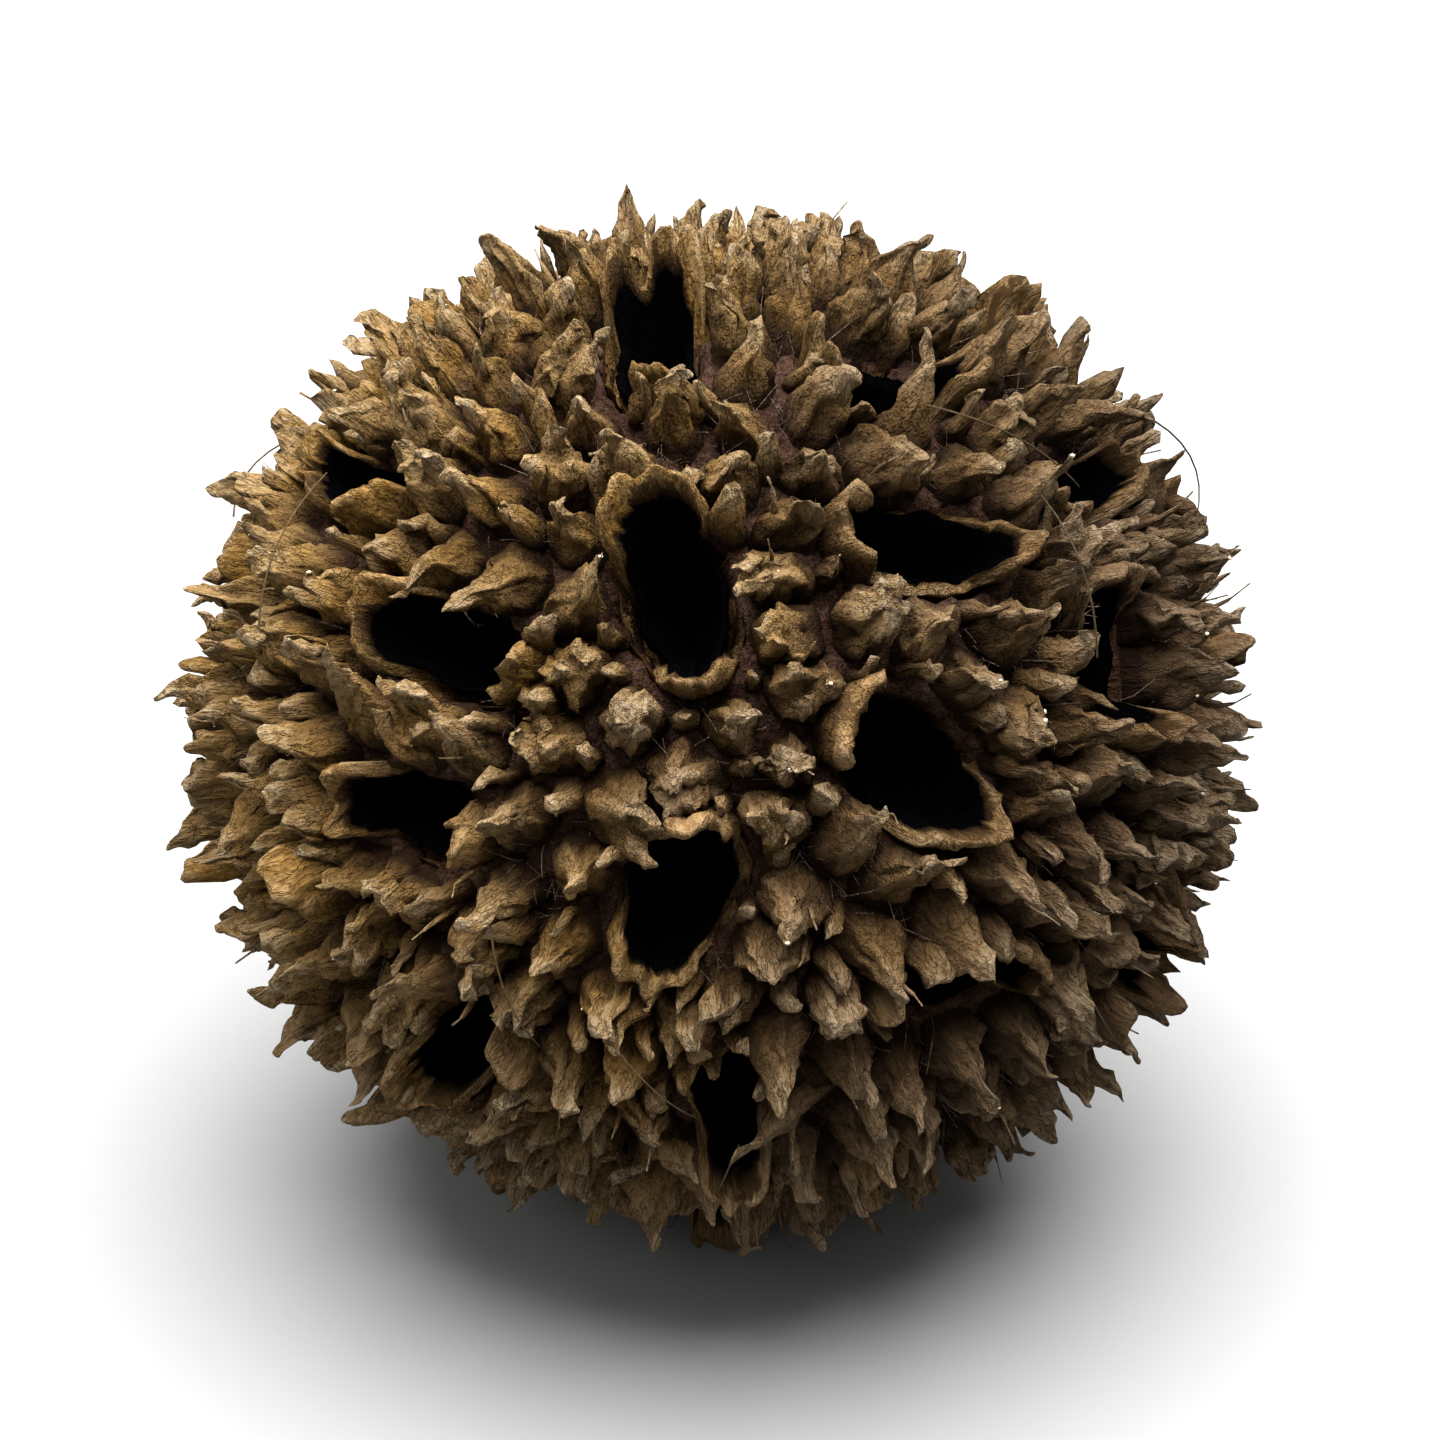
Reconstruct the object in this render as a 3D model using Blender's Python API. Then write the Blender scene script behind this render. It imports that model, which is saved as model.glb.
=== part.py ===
# Sweetgum seed ball: a woody ball of fused capsules, each open as a two-beaked mouth, with blunt
# pointed scales crowding between the mouths. It lies on a small flat spot, and the broken stub of
# its stalk is at the back. The ball grew as one piece, so it is one closed body.
# Units are metres, +Z is up, -Y is the front, and the origin is the middle of the flat spot.

import math

import bmesh
import bpy
import numpy as np
from mathutils import Vector, noise

MM = 0.001

# Driving dimensions. A share is a share of the way from the ball's middle to the tips of its scales.
TIP_RADII = Vector((16.0, 15.7, 15.3)) * MM  # reach of the scale tips along X, Y and Z
FLOOR_SHARE = 0.965  # where the surface that the ball lies on trims the lowest tips
GROOVE_SHARE = 0.825  # bottom of the grooves between the scales
LIP_SHARE = 0.93  # a mouth's lips along its sides
BEAK_SHARE = 0.995  # a mouth's lips at its two beaks
PIT_SHARE = 0.63  # floor of a mouth
SWELL = 0.022  # how far the whole ball swells and dips from its ellipsoid
SWELL_WAVES = 1.6

LIP_THICKNESS = 0.75 * MM
LIP_BEVEL = 0.012  # share that a lip's inner edge lies lower than its outer one
PIT_TAPER = 0.5  # a pit's floor against its mouth
MEAN_RADIUS = 15.0 * MM  # mouths and scales are spread over a ball of this radius

MOUTH_COUNT = 50  # spiral places that the hidden mouths are drawn from
MOUTH_GAP = 7.3 * MM  # between the middles of neighbouring mouths
MOUTH_CLEARANCE = 0.85  # of that gap, from a drawn place to the mouths that show
MOUTH_PUSH = 1.35  # of that gap, within which hidden mouths push each other away
MOUTH_LENGTHS = (3.9 * MM, 5.3 * MM)
MOUTH_WIDTHS = (1.6 * MM, 2.6 * MM)
MOUTH_MAKERS = 6  # directions round a mouth's opening, whose cells are joined into its own
LIP_FIT = 0.93  # the most of its cell that a mouth's lips fill

SCALE_COUNT = 395
SCALE_PUSH = 1.4  # of an even spacing, within which scales push each other away
SETTLING_STEPS = 220
SCALE_HEIGHTS = (0.8, 1.08)  # tips, from the groove up, against the full height
SCALE_LEAN = 0.5 * MM
SHOULDER_SPREAD = (0.78, 0.6)  # a scale's shoulder against its foot, across its wide and thin ways
SHOULDER_HEIGHTS = (0.5, 0.76)
SCALE_ROOM = 0.95 * MM  # from a mouth's lip to the middle of the scales round it

STALK_DIRECTION = Vector((0.30, 0.88, 0.38)).normalized()
STALK_RADIUS = 0.95 * MM
STALK_LENGTH = 1.0 * MM  # past the scale tips
STALK_COLLAR = (0.88, 1.2)  # its share of the way out, and its radius against the stalk's
STALK_ROOM = 2.5 * MM

FOOT_DIRECTION = Vector((0, 0, -1))
FOOT_SPREAD = 0.62
FOOT_SPARE = 0.02  # share that the foot reaches past the floor before it is trimmed
SEED = 7

# The mouths that show from the front, looked at from this far above the horizon: places right of
# and above the ball's middle, the turn of the long way from level, then length and width.
FRONT_ELEVATION = math.radians(32)
FRONT_MOUTHS = (
    (-2.2, 12.1, 90, 5.2, 2.6),
    (-1.3, 4.0, 103, 5.6, 3.1),
    (-8.4, 2.3, 162, 5.6, 2.7),
    (6.4, 5.7, -5, 5.6, 2.5),
    (6.0, -1.3, -38, 5.4, 3.4),
    (-1.2, -5.5, 65, 5.0, 3.1),
    (-9.4, -3.1, -20, 4.8, 2.4),
    (-7.8, -10.4, 22, 5.0, 2.5),
    (-12.9, -5.0, 10, 4.4, 2.4),
    (7.2, -8.3, 20, 4.8, 2.3),
    (12.3, 1.9, 100, 4.6, 2.5),
    (5.3, 11.1, 170, 4.8, 2.1),
    (-11.2, 7.3, -29, 5.0, 2.2),
    (11.2, 7.6, 20, 4.8, 2.3),
    (0.1, -12.1, 110, 4.6, 2.2),
)

WOOD_COLOUR = (0.235, 0.165, 0.085, 1.0)


def clear_scene():
    for old in list(bpy.data.objects):
        bpy.data.objects.remove(old, do_unlink=True)


def surface(direction, share):
    # The place that lies this share of the way out, with the ball's slow swells
    heading = Vector(direction).normalized()
    swell = 1 + SWELL * noise.noise(heading * SWELL_WAVES)
    return Vector(r * c for r, c in zip(TIP_RADII, heading)) * share * swell


def spiral(count):
    # Directions spread evenly over a ball, along a spiral from pole to pole
    step = np.arange(count) + 0.5
    height = 1 - 2 * step / count
    turn = step * math.pi * (3 - math.sqrt(5))
    ring = np.sqrt(1 - height**2)
    return np.stack([ring * np.cos(turn), ring * np.sin(turn), height], axis=1)


def unit(rows):
    return rows / np.linalg.norm(rows, axis=-1, keepdims=True)


def pushed_apart(moving, fixed, gap, steps, rate):
    # Directions that drift away from each other and from the fixed ones, to lie a gap apart
    for _ in range(steps):
        others = np.concatenate([moving, fixed])
        apart = moving[:, None] - others[None]
        reach = np.linalg.norm(apart, axis=2) + 1e-9
        push = np.clip(1 - reach / gap, 0, 1) ** 2
        push[np.arange(len(moving)), np.arange(len(moving))] = 0
        moving = unit(moving + rate * gap * ((push / reach)[:, :, None] * apart).sum(axis=1))
    return moving


class Mouth:
    def __init__(self, direction, along, length, width):
        self.direction = Vector(direction).normalized()
        self.along = (Vector(along) - self.direction * self.direction.dot(Vector(along))).normalized()
        self.across = self.direction.cross(self.along)
        self.length = length
        self.width = width

    def out_to(self, turn, extra=0.0):
        # From the middle to the mouth's oval, or to one that lies a distance outside its opening
        out_along = (self.length / 2 + extra) * math.cos(turn) / MEAN_RADIUS
        out_across = (self.width / 2 + extra) * math.sin(turn) / MEAN_RADIUS
        return self.along * out_along + self.across * out_across

    def makers(self):
        turns = [math.tau * (number + 0.5) / MOUTH_MAKERS for number in range(MOUTH_MAKERS)]
        return [(self.direction + self.out_to(turn)).normalized() for turn in turns]

    def offset(self, place):
        return Vector(place) / Vector(place).dot(self.direction) - self.direction

    def turn_of(self, place):
        out = self.offset(place)
        return math.atan2(out.dot(self.across) / self.width, out.dot(self.along) / self.length)


def front_mouths():
    right = Vector((1, 0, 0))
    up = Vector((0, math.sin(FRONT_ELEVATION), math.cos(FRONT_ELEVATION)))
    near = Vector((0, -math.cos(FRONT_ELEVATION), math.sin(FRONT_ELEVATION)))
    found = []
    for x, y, turn, length, width in FRONT_MOUTHS:
        x, y = x * MM / MEAN_RADIUS, y * MM / MEAN_RADIUS
        depth = math.sqrt(1 - x * x - y * y)
        direction = right * x + up * y + near * depth
        seen = right * math.cos(math.radians(turn)) + up * math.sin(math.radians(turn))
        along = seen - near * (seen.dot(direction) / depth)
        found.append(Mouth(direction, along, length * MM, width * MM))
    return found


def all_mouths(draw):
    front = front_mouths()
    kept = np.array([m.direction for m in front] + [STALK_DIRECTION, FOOT_DIRECTION])
    gap = MOUTH_GAP / MEAN_RADIUS
    places = spiral(MOUTH_COUNT)
    clear = np.linalg.norm(places[:, None] - kept[None], axis=2).min(axis=1) > MOUTH_CLEARANCE * gap
    places = pushed_apart(places[clear], kept, MOUTH_PUSH * gap, steps=150, rate=0.2)
    hidden = []
    for place in places:
        sideways = Vector(place).orthogonal().normalized()
        turn = draw.uniform(0, math.pi)
        along = sideways * math.cos(turn) + Vector(place).cross(sideways) * math.sin(turn)
        hidden.append(Mouth(place, along, draw.uniform(*MOUTH_LENGTHS), draw.uniform(*MOUTH_WIDTHS)))
    return front + hidden


def scale_places(mouths):
    # Scales crowd evenly between the mouths' lips. The first of them is the foot.
    middles = np.array([m.direction for m in mouths])
    alongs = np.array([m.along for m in mouths])
    reaches = np.array([(m.length - m.width) / 2 / MEAN_RADIUS for m in mouths])
    rooms = np.array([(m.width / 2 + LIP_THICKNESS + SCALE_ROOM) / MEAN_RADIUS for m in mouths])
    gap = SCALE_PUSH * math.sqrt(4 * math.pi / SCALE_COUNT)
    foot = np.array([FOOT_DIRECTION])
    stalk = np.array([STALK_DIRECTION])
    places = spiral(SCALE_COUNT)
    places = places[np.argsort(places[:, 2])][1:]
    for _ in range(SETTLING_STEPS):
        places = pushed_apart(places, foot, gap, steps=1, rate=0.16)
        offset = places[:, None] - middles[None]
        run = np.clip((offset * alongs[None]).sum(axis=2), -reaches, reaches)
        apart = offset - run[:, :, None] * alongs[None]
        reach = np.linalg.norm(apart, axis=2) + 1e-9
        push = np.clip(rooms - reach, 0, None)
        places = unit(places + 0.7 * ((push / reach)[:, :, None] * apart).sum(axis=1))
        from_stalk = places - stalk
        reach = np.linalg.norm(from_stalk, axis=1, keepdims=True)
        push = np.clip(STALK_ROOM / MEAN_RADIUS - reach, 0, None)
        places = unit(places + push / reach * from_stalk)
    return np.concatenate([foot, places])


def dual_cells_group():
    # Turns a net of triangles into the cells round its points
    group = bpy.data.node_groups.new("cells_round_points", "GeometryNodeTree")
    group.interface.new_socket("Geometry", in_out="INPUT", socket_type="NodeSocketGeometry")
    group.interface.new_socket("Geometry", in_out="OUTPUT", socket_type="NodeSocketGeometry")
    start = group.nodes.new("NodeGroupInput")
    dual = group.nodes.new("GeometryNodeDualMesh")
    end = group.nodes.new("NodeGroupOutput")
    group.links.new(start.outputs[0], dual.inputs["Mesh"])
    group.links.new(dual.outputs["Dual Mesh"], end.inputs[0])
    return group


def cell_mesh(directions):
    # One cell for each direction, on a ball of radius 1. A face's "maker" is its direction's number.
    net = bmesh.new()
    maker = net.verts.layers.int.new("maker")
    for number, direction in enumerate(directions):
        net.verts.new(direction)[maker] = number
    bmesh.ops.convex_hull(net, input=net.verts)
    mesh = bpy.data.meshes.new("net")
    net.to_mesh(mesh)
    net.free()
    holder = bpy.data.objects.new("net", mesh)
    bpy.context.scene.collection.objects.link(holder)
    holder.modifiers.new("cells", "NODES").node_group = dual_cells_group()
    graph = bpy.context.evaluated_depsgraph_get()
    cells = bmesh.new()
    cells.from_mesh(holder.evaluated_get(graph).to_mesh())
    bpy.data.objects.remove(holder, do_unlink=True)
    return cells


def inset(cells, face, places):
    # Rings the face with new faces, and puts the corners of what is left at these places
    bmesh.ops.inset_individual(cells, faces=[face], thickness=0.0)
    for corner, place in zip(face.verts, places):
        corner.co = place


def raise_scale(cells, face, direction, draw):
    heading = Vector(direction)
    foot = [corner.co.copy() for corner in face.verts]
    middle = sum(foot, Vector()) / len(foot)
    turn = draw.uniform(0, math.pi)
    wide = Vector(heading).orthogonal().normalized()
    wide = (wide * math.cos(turn) + heading.cross(wide) * math.sin(turn)).normalized()
    thin = heading.cross(wide)
    lean = (wide * draw.normal(0, 0.5) + thin * draw.normal(0, 0.5)) * SCALE_LEAN
    height = (surface(heading, 1) - surface(heading, GROOVE_SHARE)).length * draw.uniform(*SCALE_HEIGHTS)
    shoulder_height = height * draw.uniform(*SHOULDER_HEIGHTS)
    shoulders = []
    for corner in foot:
        offset = corner - middle
        spread = wide * offset.dot(wide) * SHOULDER_SPREAD[0] + thin * offset.dot(thin) * SHOULDER_SPREAD[1]
        shoulders.append(middle + spread + heading * shoulder_height + lean * 0.4)
    inset(cells, face, shoulders)
    tip = bmesh.ops.poke(cells, faces=[face])["verts"][0]
    tip.co = middle + heading * height + lean


def open_mouth(cells, face, mouth):
    # Lips that rise to a beak at each end of the long way, round a pit
    turns = [mouth.turn_of(corner.co) for corner in face.verts]
    for beak in (0, math.pi):
        nearest = min(range(len(turns)), key=lambda i: abs(math.remainder(turns[i] - beak, math.tau)))
        turns[nearest] = beak
    rises = [LIP_SHARE + (BEAK_SHARE - LIP_SHARE) * abs(math.cos(turn)) ** 3 for turn in turns]
    lips = [mouth.out_to(turn, LIP_THICKNESS) for turn in turns]
    room = [LIP_FIT * mouth.offset(corner.co).length for corner in face.verts]
    fits = [min(1, space / lip.length) for space, lip in zip(room, lips)]
    opening = [mouth.out_to(turn) * fit for turn, fit in zip(turns, fits)]
    rings = (
        [surface(mouth.direction + lip * fit, rise) for lip, fit, rise in zip(lips, fits, rises)],
        [surface(mouth.direction + out, rise - LIP_BEVEL) for out, rise in zip(opening, rises)],
        [surface(mouth.direction + out * PIT_TAPER, PIT_SHARE) for out in opening],
    )
    for ring in rings:
        inset(cells, face, ring)


def grow_stalk(cells, face):
    # A round stub that stands out of a low collar, broken off square
    heading = STALK_DIRECTION
    first = face.verts[0].co
    side = (first - heading * heading.dot(first)).normalized()
    other = face.normal.cross(side)
    turns = [math.tau * number / len(face.verts) for number in range(len(face.verts))]
    for share, radius, past in ((*STALK_COLLAR, 0), (1.0, 1.0, STALK_LENGTH)):
        axis_place = surface(heading, share) + heading * past
        ring = [
            axis_place + (side * math.cos(turn) + other * math.sin(turn)) * STALK_RADIUS * radius
            for turn in turns
        ]
        inset(cells, face, ring)


def stand_foot(cells, face):
    # The lowest scale is a broad stump, which the surface underneath trims flat
    foot = [corner.co.copy() for corner in face.verts]
    middle = sum(foot, Vector()) / len(foot)
    end = surface(FOOT_DIRECTION, FLOOR_SHARE + FOOT_SPARE)
    inset(cells, face, [end + (corner - middle) * FOOT_SPREAD for corner in foot])


def trim_flat(cells):
    # Cuts the ball off at the surface that it lies on, and closes the trimmed tips
    floor = surface(FOOT_DIRECTION, FLOOR_SHARE)
    everything = cells.verts[:] + cells.edges[:] + cells.faces[:]
    bmesh.ops.bisect_plane(
        cells, geom=everything, dist=1e-7, plane_co=floor, plane_no=FOOT_DIRECTION, clear_outer=True
    )
    bmesh.ops.holes_fill(cells, edges=[edge for edge in cells.edges if edge.is_boundary], sides=0)
    bmesh.ops.translate(cells, verts=cells.verts, vec=-Vector((0, 0, floor.z)))


def wood_material():
    wood = bpy.data.materials.new("weathered_wood")
    wood.use_nodes = True
    shader = wood.node_tree.nodes["Principled BSDF"]
    shader.inputs["Base Color"].default_value = WOOD_COLOUR
    shader.inputs["Roughness"].default_value = 0.85
    shader.inputs["Metallic"].default_value = 0.0
    return wood


def build():
    clear_scene()
    draw = np.random.default_rng(SEED)
    mouths = all_mouths(draw)
    scales = scale_places(mouths)
    mouth_makers = [maker for mouth in mouths for maker in mouth.makers()]
    cells = cell_mesh([Vector(place) for place in scales] + mouth_makers + [STALK_DIRECTION])
    for corner in cells.verts:
        corner.co = surface(corner.co, GROOVE_SHARE)

    maker = cells.faces.layers.int["maker"]
    face_of = {face[maker]: face for face in cells.faces}
    first_mouth = len(scales)
    stalk_face = face_of[first_mouth + len(mouth_makers)]
    grow_stalk(cells, stalk_face)
    stand_foot(cells, face_of[0])
    for number in range(1, len(scales)):
        raise_scale(cells, face_of[number], scales[number], draw)
    for number, mouth in enumerate(mouths):
        first = first_mouth + MOUTH_MAKERS * number
        own = [face_of[maker_number] for maker_number in range(first, first + MOUTH_MAKERS)]
        joined = bmesh.ops.dissolve_faces(cells, faces=own, use_verts=False)["region"]
        open_mouth(cells, joined[0], mouth)
    bmesh.ops.triangulate(cells, faces=[face for face in cells.faces if len(face.verts) > 3])
    trim_flat(cells)
    bmesh.ops.triangulate(cells, faces=[face for face in cells.faces if len(face.verts) > 3])
    bmesh.ops.recalc_face_normals(cells, faces=cells.faces)

    mesh = bpy.data.meshes.new("seed_ball")
    cells.to_mesh(mesh)
    cells.free()
    mesh.materials.append(wood_material())
    ball = bpy.data.objects.new("seed_ball", mesh)
    collection = bpy.data.collections.new("sweetgum_seed_ball")
    bpy.context.scene.collection.children.link(collection)
    collection.objects.link(ball)
    print(len(mouths), "mouths,", len(scales), "scales,", len(mesh.polygons), "triangles")


build()
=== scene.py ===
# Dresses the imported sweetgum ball: felted core, gaping capsule mouths, crowding scales, spines and
# the broken stub of the stalk. Metres, +Z up, the photo's side is -Y.
import math

import bmesh
import bpy
import numpy as np
from mathutils import Matrix, Vector, noise


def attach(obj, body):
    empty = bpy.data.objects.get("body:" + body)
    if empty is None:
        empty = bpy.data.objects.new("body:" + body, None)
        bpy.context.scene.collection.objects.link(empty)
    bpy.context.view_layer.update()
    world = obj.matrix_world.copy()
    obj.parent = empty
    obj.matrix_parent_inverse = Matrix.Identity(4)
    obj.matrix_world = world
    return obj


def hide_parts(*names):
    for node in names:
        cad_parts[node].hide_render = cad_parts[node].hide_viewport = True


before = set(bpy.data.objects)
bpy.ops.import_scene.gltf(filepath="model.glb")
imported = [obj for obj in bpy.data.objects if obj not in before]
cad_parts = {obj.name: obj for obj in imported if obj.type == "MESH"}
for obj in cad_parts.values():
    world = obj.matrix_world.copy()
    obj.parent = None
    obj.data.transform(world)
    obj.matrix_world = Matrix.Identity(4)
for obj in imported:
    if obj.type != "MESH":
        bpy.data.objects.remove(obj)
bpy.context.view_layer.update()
mm = 0.001

# The ball's own sizes, as its solid has them. A share is a share of the way from the middle to the tips.
ball = {
    "tipRadii": Vector((16.0, 15.7, 15.3)) * mm,
    "meanRadius": 15.0 * mm,
    "floorShare": 0.965,
    "grooveShare": 0.825,
    "swell": 0.022,
    "swellWaves": 1.6,
    "seed": 7,
    "stalkDirection": Vector((0.30, 0.88, 0.38)).normalized(),
    "footDirection": Vector((0, 0, -1)),
}

# Places right of and above the ball's middle in mm, the turn of the long way, then length and width
frontMouths = (
    (-2.2, 12.1, 90, 5.2, 2.6),
    (-1.3, 4.0, 103, 5.6, 3.1),
    (-8.4, 2.3, 162, 5.6, 2.7),
    (6.4, 5.7, -5, 5.6, 2.5),
    (6.0, -1.3, -38, 5.4, 3.4),
    (-1.2, -5.5, 65, 5.0, 3.1),
    (-9.4, -3.1, -20, 4.8, 2.4),
    (-7.8, -10.4, 22, 5.0, 2.5),
    (-12.9, -5.0, 10, 4.4, 2.4),
    (7.2, -8.3, 20, 4.8, 2.3),
    (12.3, 1.9, 100, 4.6, 2.5),
    (5.3, 11.1, 170, 4.8, 2.1),
    (-11.2, 7.3, -29, 5.0, 2.2),
    (11.2, 7.6, 20, 4.8, 2.3),
    (0.1, -12.1, 110, 4.6, 2.2),
)

layout = {
    "viewElevation": math.radians(32),
    "mouthCount": 50,
    "mouthGap": 7.3 * mm,
    "mouthClearance": 0.85,
    "mouthPush": 1.35,
    "mouthSteps": 150,
    "mouthRate": 0.2,
    "mouthLengths": (3.9 * mm, 5.3 * mm),
    "mouthWidths": (1.6 * mm, 2.6 * mm),
    "mouthMakers": 6,
    "mouthOverlap": 0.8 * mm,
    "lipThickness": 0.75 * mm,
    "scaleCount": 395,
    "scalePush": 1.4,
    "settlingSteps": 220,
    "settlingRate": 0.16,
    "clearingRate": 0.7,
    "scaleRoom": 0.95 * mm,
    "stalkRoom": 2.5 * mm,
    "neighbourhood": 0.55,  # how far off, on a ball of radius 1, a neighbour still bounds a scale's ground
}


def surface(direction, share):
    heading = Vector(direction).normalized()
    swell = 1 + ball["swell"] * noise.noise(heading * ball["swellWaves"])
    return Vector(r * c for r, c in zip(ball["tipRadii"], heading)) * share * swell


lift = np.array([0, 0, -surface(ball["footDirection"], ball["floorShare"]).z])  # the ball's middle


def unit(rows):
    return rows / np.linalg.norm(rows, axis=-1, keepdims=True)


def spiral(count):  # directions spread evenly over a ball
    step = np.arange(count) + 0.5
    height = 1 - 2 * step / count
    turn = step * math.pi * (3 - math.sqrt(5))
    ring = np.sqrt(1 - height**2)
    return np.stack([ring * np.cos(turn), ring * np.sin(turn), height], axis=1)


def pushedApart(moving, fixed, gap, steps, rate):
    for _ in range(steps):
        others = np.concatenate([moving, fixed])
        apart = moving[:, None] - others[None]
        reach = np.linalg.norm(apart, axis=2) + 1e-9
        push = np.clip(1 - reach / gap, 0, 1) ** 2
        push[np.arange(len(moving)), np.arange(len(moving))] = 0
        moving = unit(moving + rate * gap * ((push / reach)[:, :, None] * apart).sum(axis=1))
    return moving


class Mouth:
    def __init__(self, direction, along, length, width):
        self.direction = Vector(direction).normalized()
        self.along = (Vector(along) - self.direction * self.direction.dot(Vector(along))).normalized()
        self.across = self.direction.cross(self.along)
        self.length = length
        self.width = width

    def outTo(self, turn, extra=0.0):
        outAlong = (self.length / 2 + extra) * math.cos(turn) / ball["meanRadius"]
        outAcross = (self.width / 2 + extra) * math.sin(turn) / ball["meanRadius"]
        return self.along * outAlong + self.across * outAcross

    def makers(self):  # points that keep a scale's ground off the mouth, closer to it on the long sides
        found = []
        for number in range(layout["mouthMakers"]):
            turn = math.tau * (number + 0.5) / layout["mouthMakers"]
            closer = -layout["mouthOverlap"] * abs(math.sin(turn))
            found.append((self.direction + self.outTo(turn, closer)).normalized())
        return found


def mouthsInView():
    tilt = layout["viewElevation"]
    right = Vector((1, 0, 0))
    up = Vector((0, math.sin(tilt), math.cos(tilt)))
    near = Vector((0, -math.cos(tilt), math.sin(tilt)))
    found = []
    for x, y, turn, length, width in frontMouths:
        x, y = x * mm / ball["meanRadius"], y * mm / ball["meanRadius"]
        depth = math.sqrt(1 - x * x - y * y)
        direction = right * x + up * y + near * depth
        seen = right * math.cos(math.radians(turn)) + up * math.sin(math.radians(turn))
        along = seen - near * (seen.dot(direction) / depth)
        found.append(Mouth(direction, along, length * mm, width * mm))
    return found


def allMouths(draw):
    front = mouthsInView()
    kept = np.array([m.direction for m in front] + [ball["stalkDirection"], ball["footDirection"]])
    gap = layout["mouthGap"] / ball["meanRadius"]
    places = spiral(layout["mouthCount"])
    nearest = np.linalg.norm(places[:, None] - kept[None], axis=2).min(axis=1)
    clear = places[nearest > layout["mouthClearance"] * gap]
    steps, rate = layout["mouthSteps"], layout["mouthRate"]
    places = pushedApart(clear, kept, layout["mouthPush"] * gap, steps, rate)
    hidden = []
    for place in places:
        sideways = Vector(place).orthogonal().normalized()
        turn = draw.uniform(0, math.pi)
        along = sideways * math.cos(turn) + Vector(place).cross(sideways) * math.sin(turn)
        length, width = draw.uniform(*layout["mouthLengths"]), draw.uniform(*layout["mouthWidths"])
        hidden.append(Mouth(place, along, length, width))
    return front + hidden


def scalePlaces(mouths):
    middles = np.array([m.direction for m in mouths])
    alongs = np.array([m.along for m in mouths])
    reaches = np.array([(m.length - m.width) / 2 / ball["meanRadius"] for m in mouths])
    outside = layout["lipThickness"] + layout["scaleRoom"]
    rooms = np.array([(m.width / 2 + outside) / ball["meanRadius"] for m in mouths])
    gap = layout["scalePush"] * math.sqrt(4 * math.pi / layout["scaleCount"])
    foot = np.array([ball["footDirection"]])
    stalk = np.array([ball["stalkDirection"]])
    places = spiral(layout["scaleCount"])
    places = places[np.argsort(places[:, 2])][1:]
    for _ in range(layout["settlingSteps"]):
        places = pushedApart(places, foot, gap, steps=1, rate=layout["settlingRate"])
        offset = places[:, None] - middles[None]
        run = np.clip((offset * alongs[None]).sum(axis=2), -reaches, reaches)
        apart = offset - run[:, :, None] * alongs[None]
        reach = np.linalg.norm(apart, axis=2) + 1e-9
        push = np.clip(rooms - reach, 0, None)
        places = unit(places + layout["clearingRate"] * ((push / reach)[:, :, None] * apart).sum(axis=1))
        fromStalk = places - stalk
        reach = np.linalg.norm(fromStalk, axis=1, keepdims=True)
        push = np.clip(layout["stalkRoom"] / ball["meanRadius"] - reach, 0, None)
        places = unit(places + push / reach * fromStalk)
    return np.concatenate([foot, places])


draw = np.random.default_rng(ball["seed"])
mouths = allMouths(draw)
scales = scalePlaces(mouths)
print("layout:", len(mouths), "mouths and", len(scales), "scales")


# Modelling helpers
def startPiece(name):  # the new primitive, in edit mode with nothing but faces in play
    piece = bpy.context.active_object
    piece.name = piece.data.name = name
    bpy.ops.object.mode_set(mode="EDIT")
    bpy.ops.mesh.select_mode(type="FACE")
    return piece


def deselectAll():
    if bpy.context.mode != "OBJECT":
        bpy.ops.object.mode_set(mode="OBJECT")
    bpy.ops.object.select_all(action="DESELECT")


def selectFaces(piece, wanted):  # selects the faces that the test accepts, and gives their middle
    edit = bmesh.from_edit_mesh(piece.data)
    for face in edit.faces:
        face.select_set(bool(wanted(face)))
    chosen = [face.calc_center_median() for face in edit.faces if face.select]
    bmesh.update_edit_mesh(piece.data)
    return sum(chosen, Vector()) / max(1, len(chosen))


def selectAbove(piece, level):
    selectFaces(piece, lambda face: face.calc_center_median().z > level)


def middleOfSelected(piece):
    edit = bmesh.from_edit_mesh(piece.data)
    chosen = [corner.co for corner in edit.verts if corner.select]
    return sum(chosen, Vector()) / len(chosen)


def growRing(piece, rise, size, shift=(0, 0)):  # extrudes what is selected, then resizes it
    bpy.ops.mesh.extrude_region_move(TRANSFORM_OT_translate={"value": (shift[0], shift[1], rise)})
    bpy.ops.transform.resize(value=(size, size, 1), center_override=middleOfSelected(piece))


def applyModifier(piece, kind, **settings):
    deselectAll()
    piece.select_set(True)
    bpy.context.view_layer.objects.active = piece
    modifier = piece.modifiers.new(kind.lower(), kind)
    for name, value in settings.items():
        setattr(modifier, name, value)
    bpy.ops.object.modifier_apply(modifier=modifier.name)


def smoothPiece(piece, levels):
    applyModifier(piece, "SUBSURF", levels=levels, render_levels=levels)


def pointsOf(mesh):
    flat = np.empty(len(mesh.vertices) * 3, np.float64)
    mesh.vertices.foreach_get("co", flat)
    return flat.reshape(-1, 3)


def setPoints(mesh, points):
    mesh.vertices.foreach_set("co", np.ascontiguousarray(points, np.float32).ravel())
    mesh.update()


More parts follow.
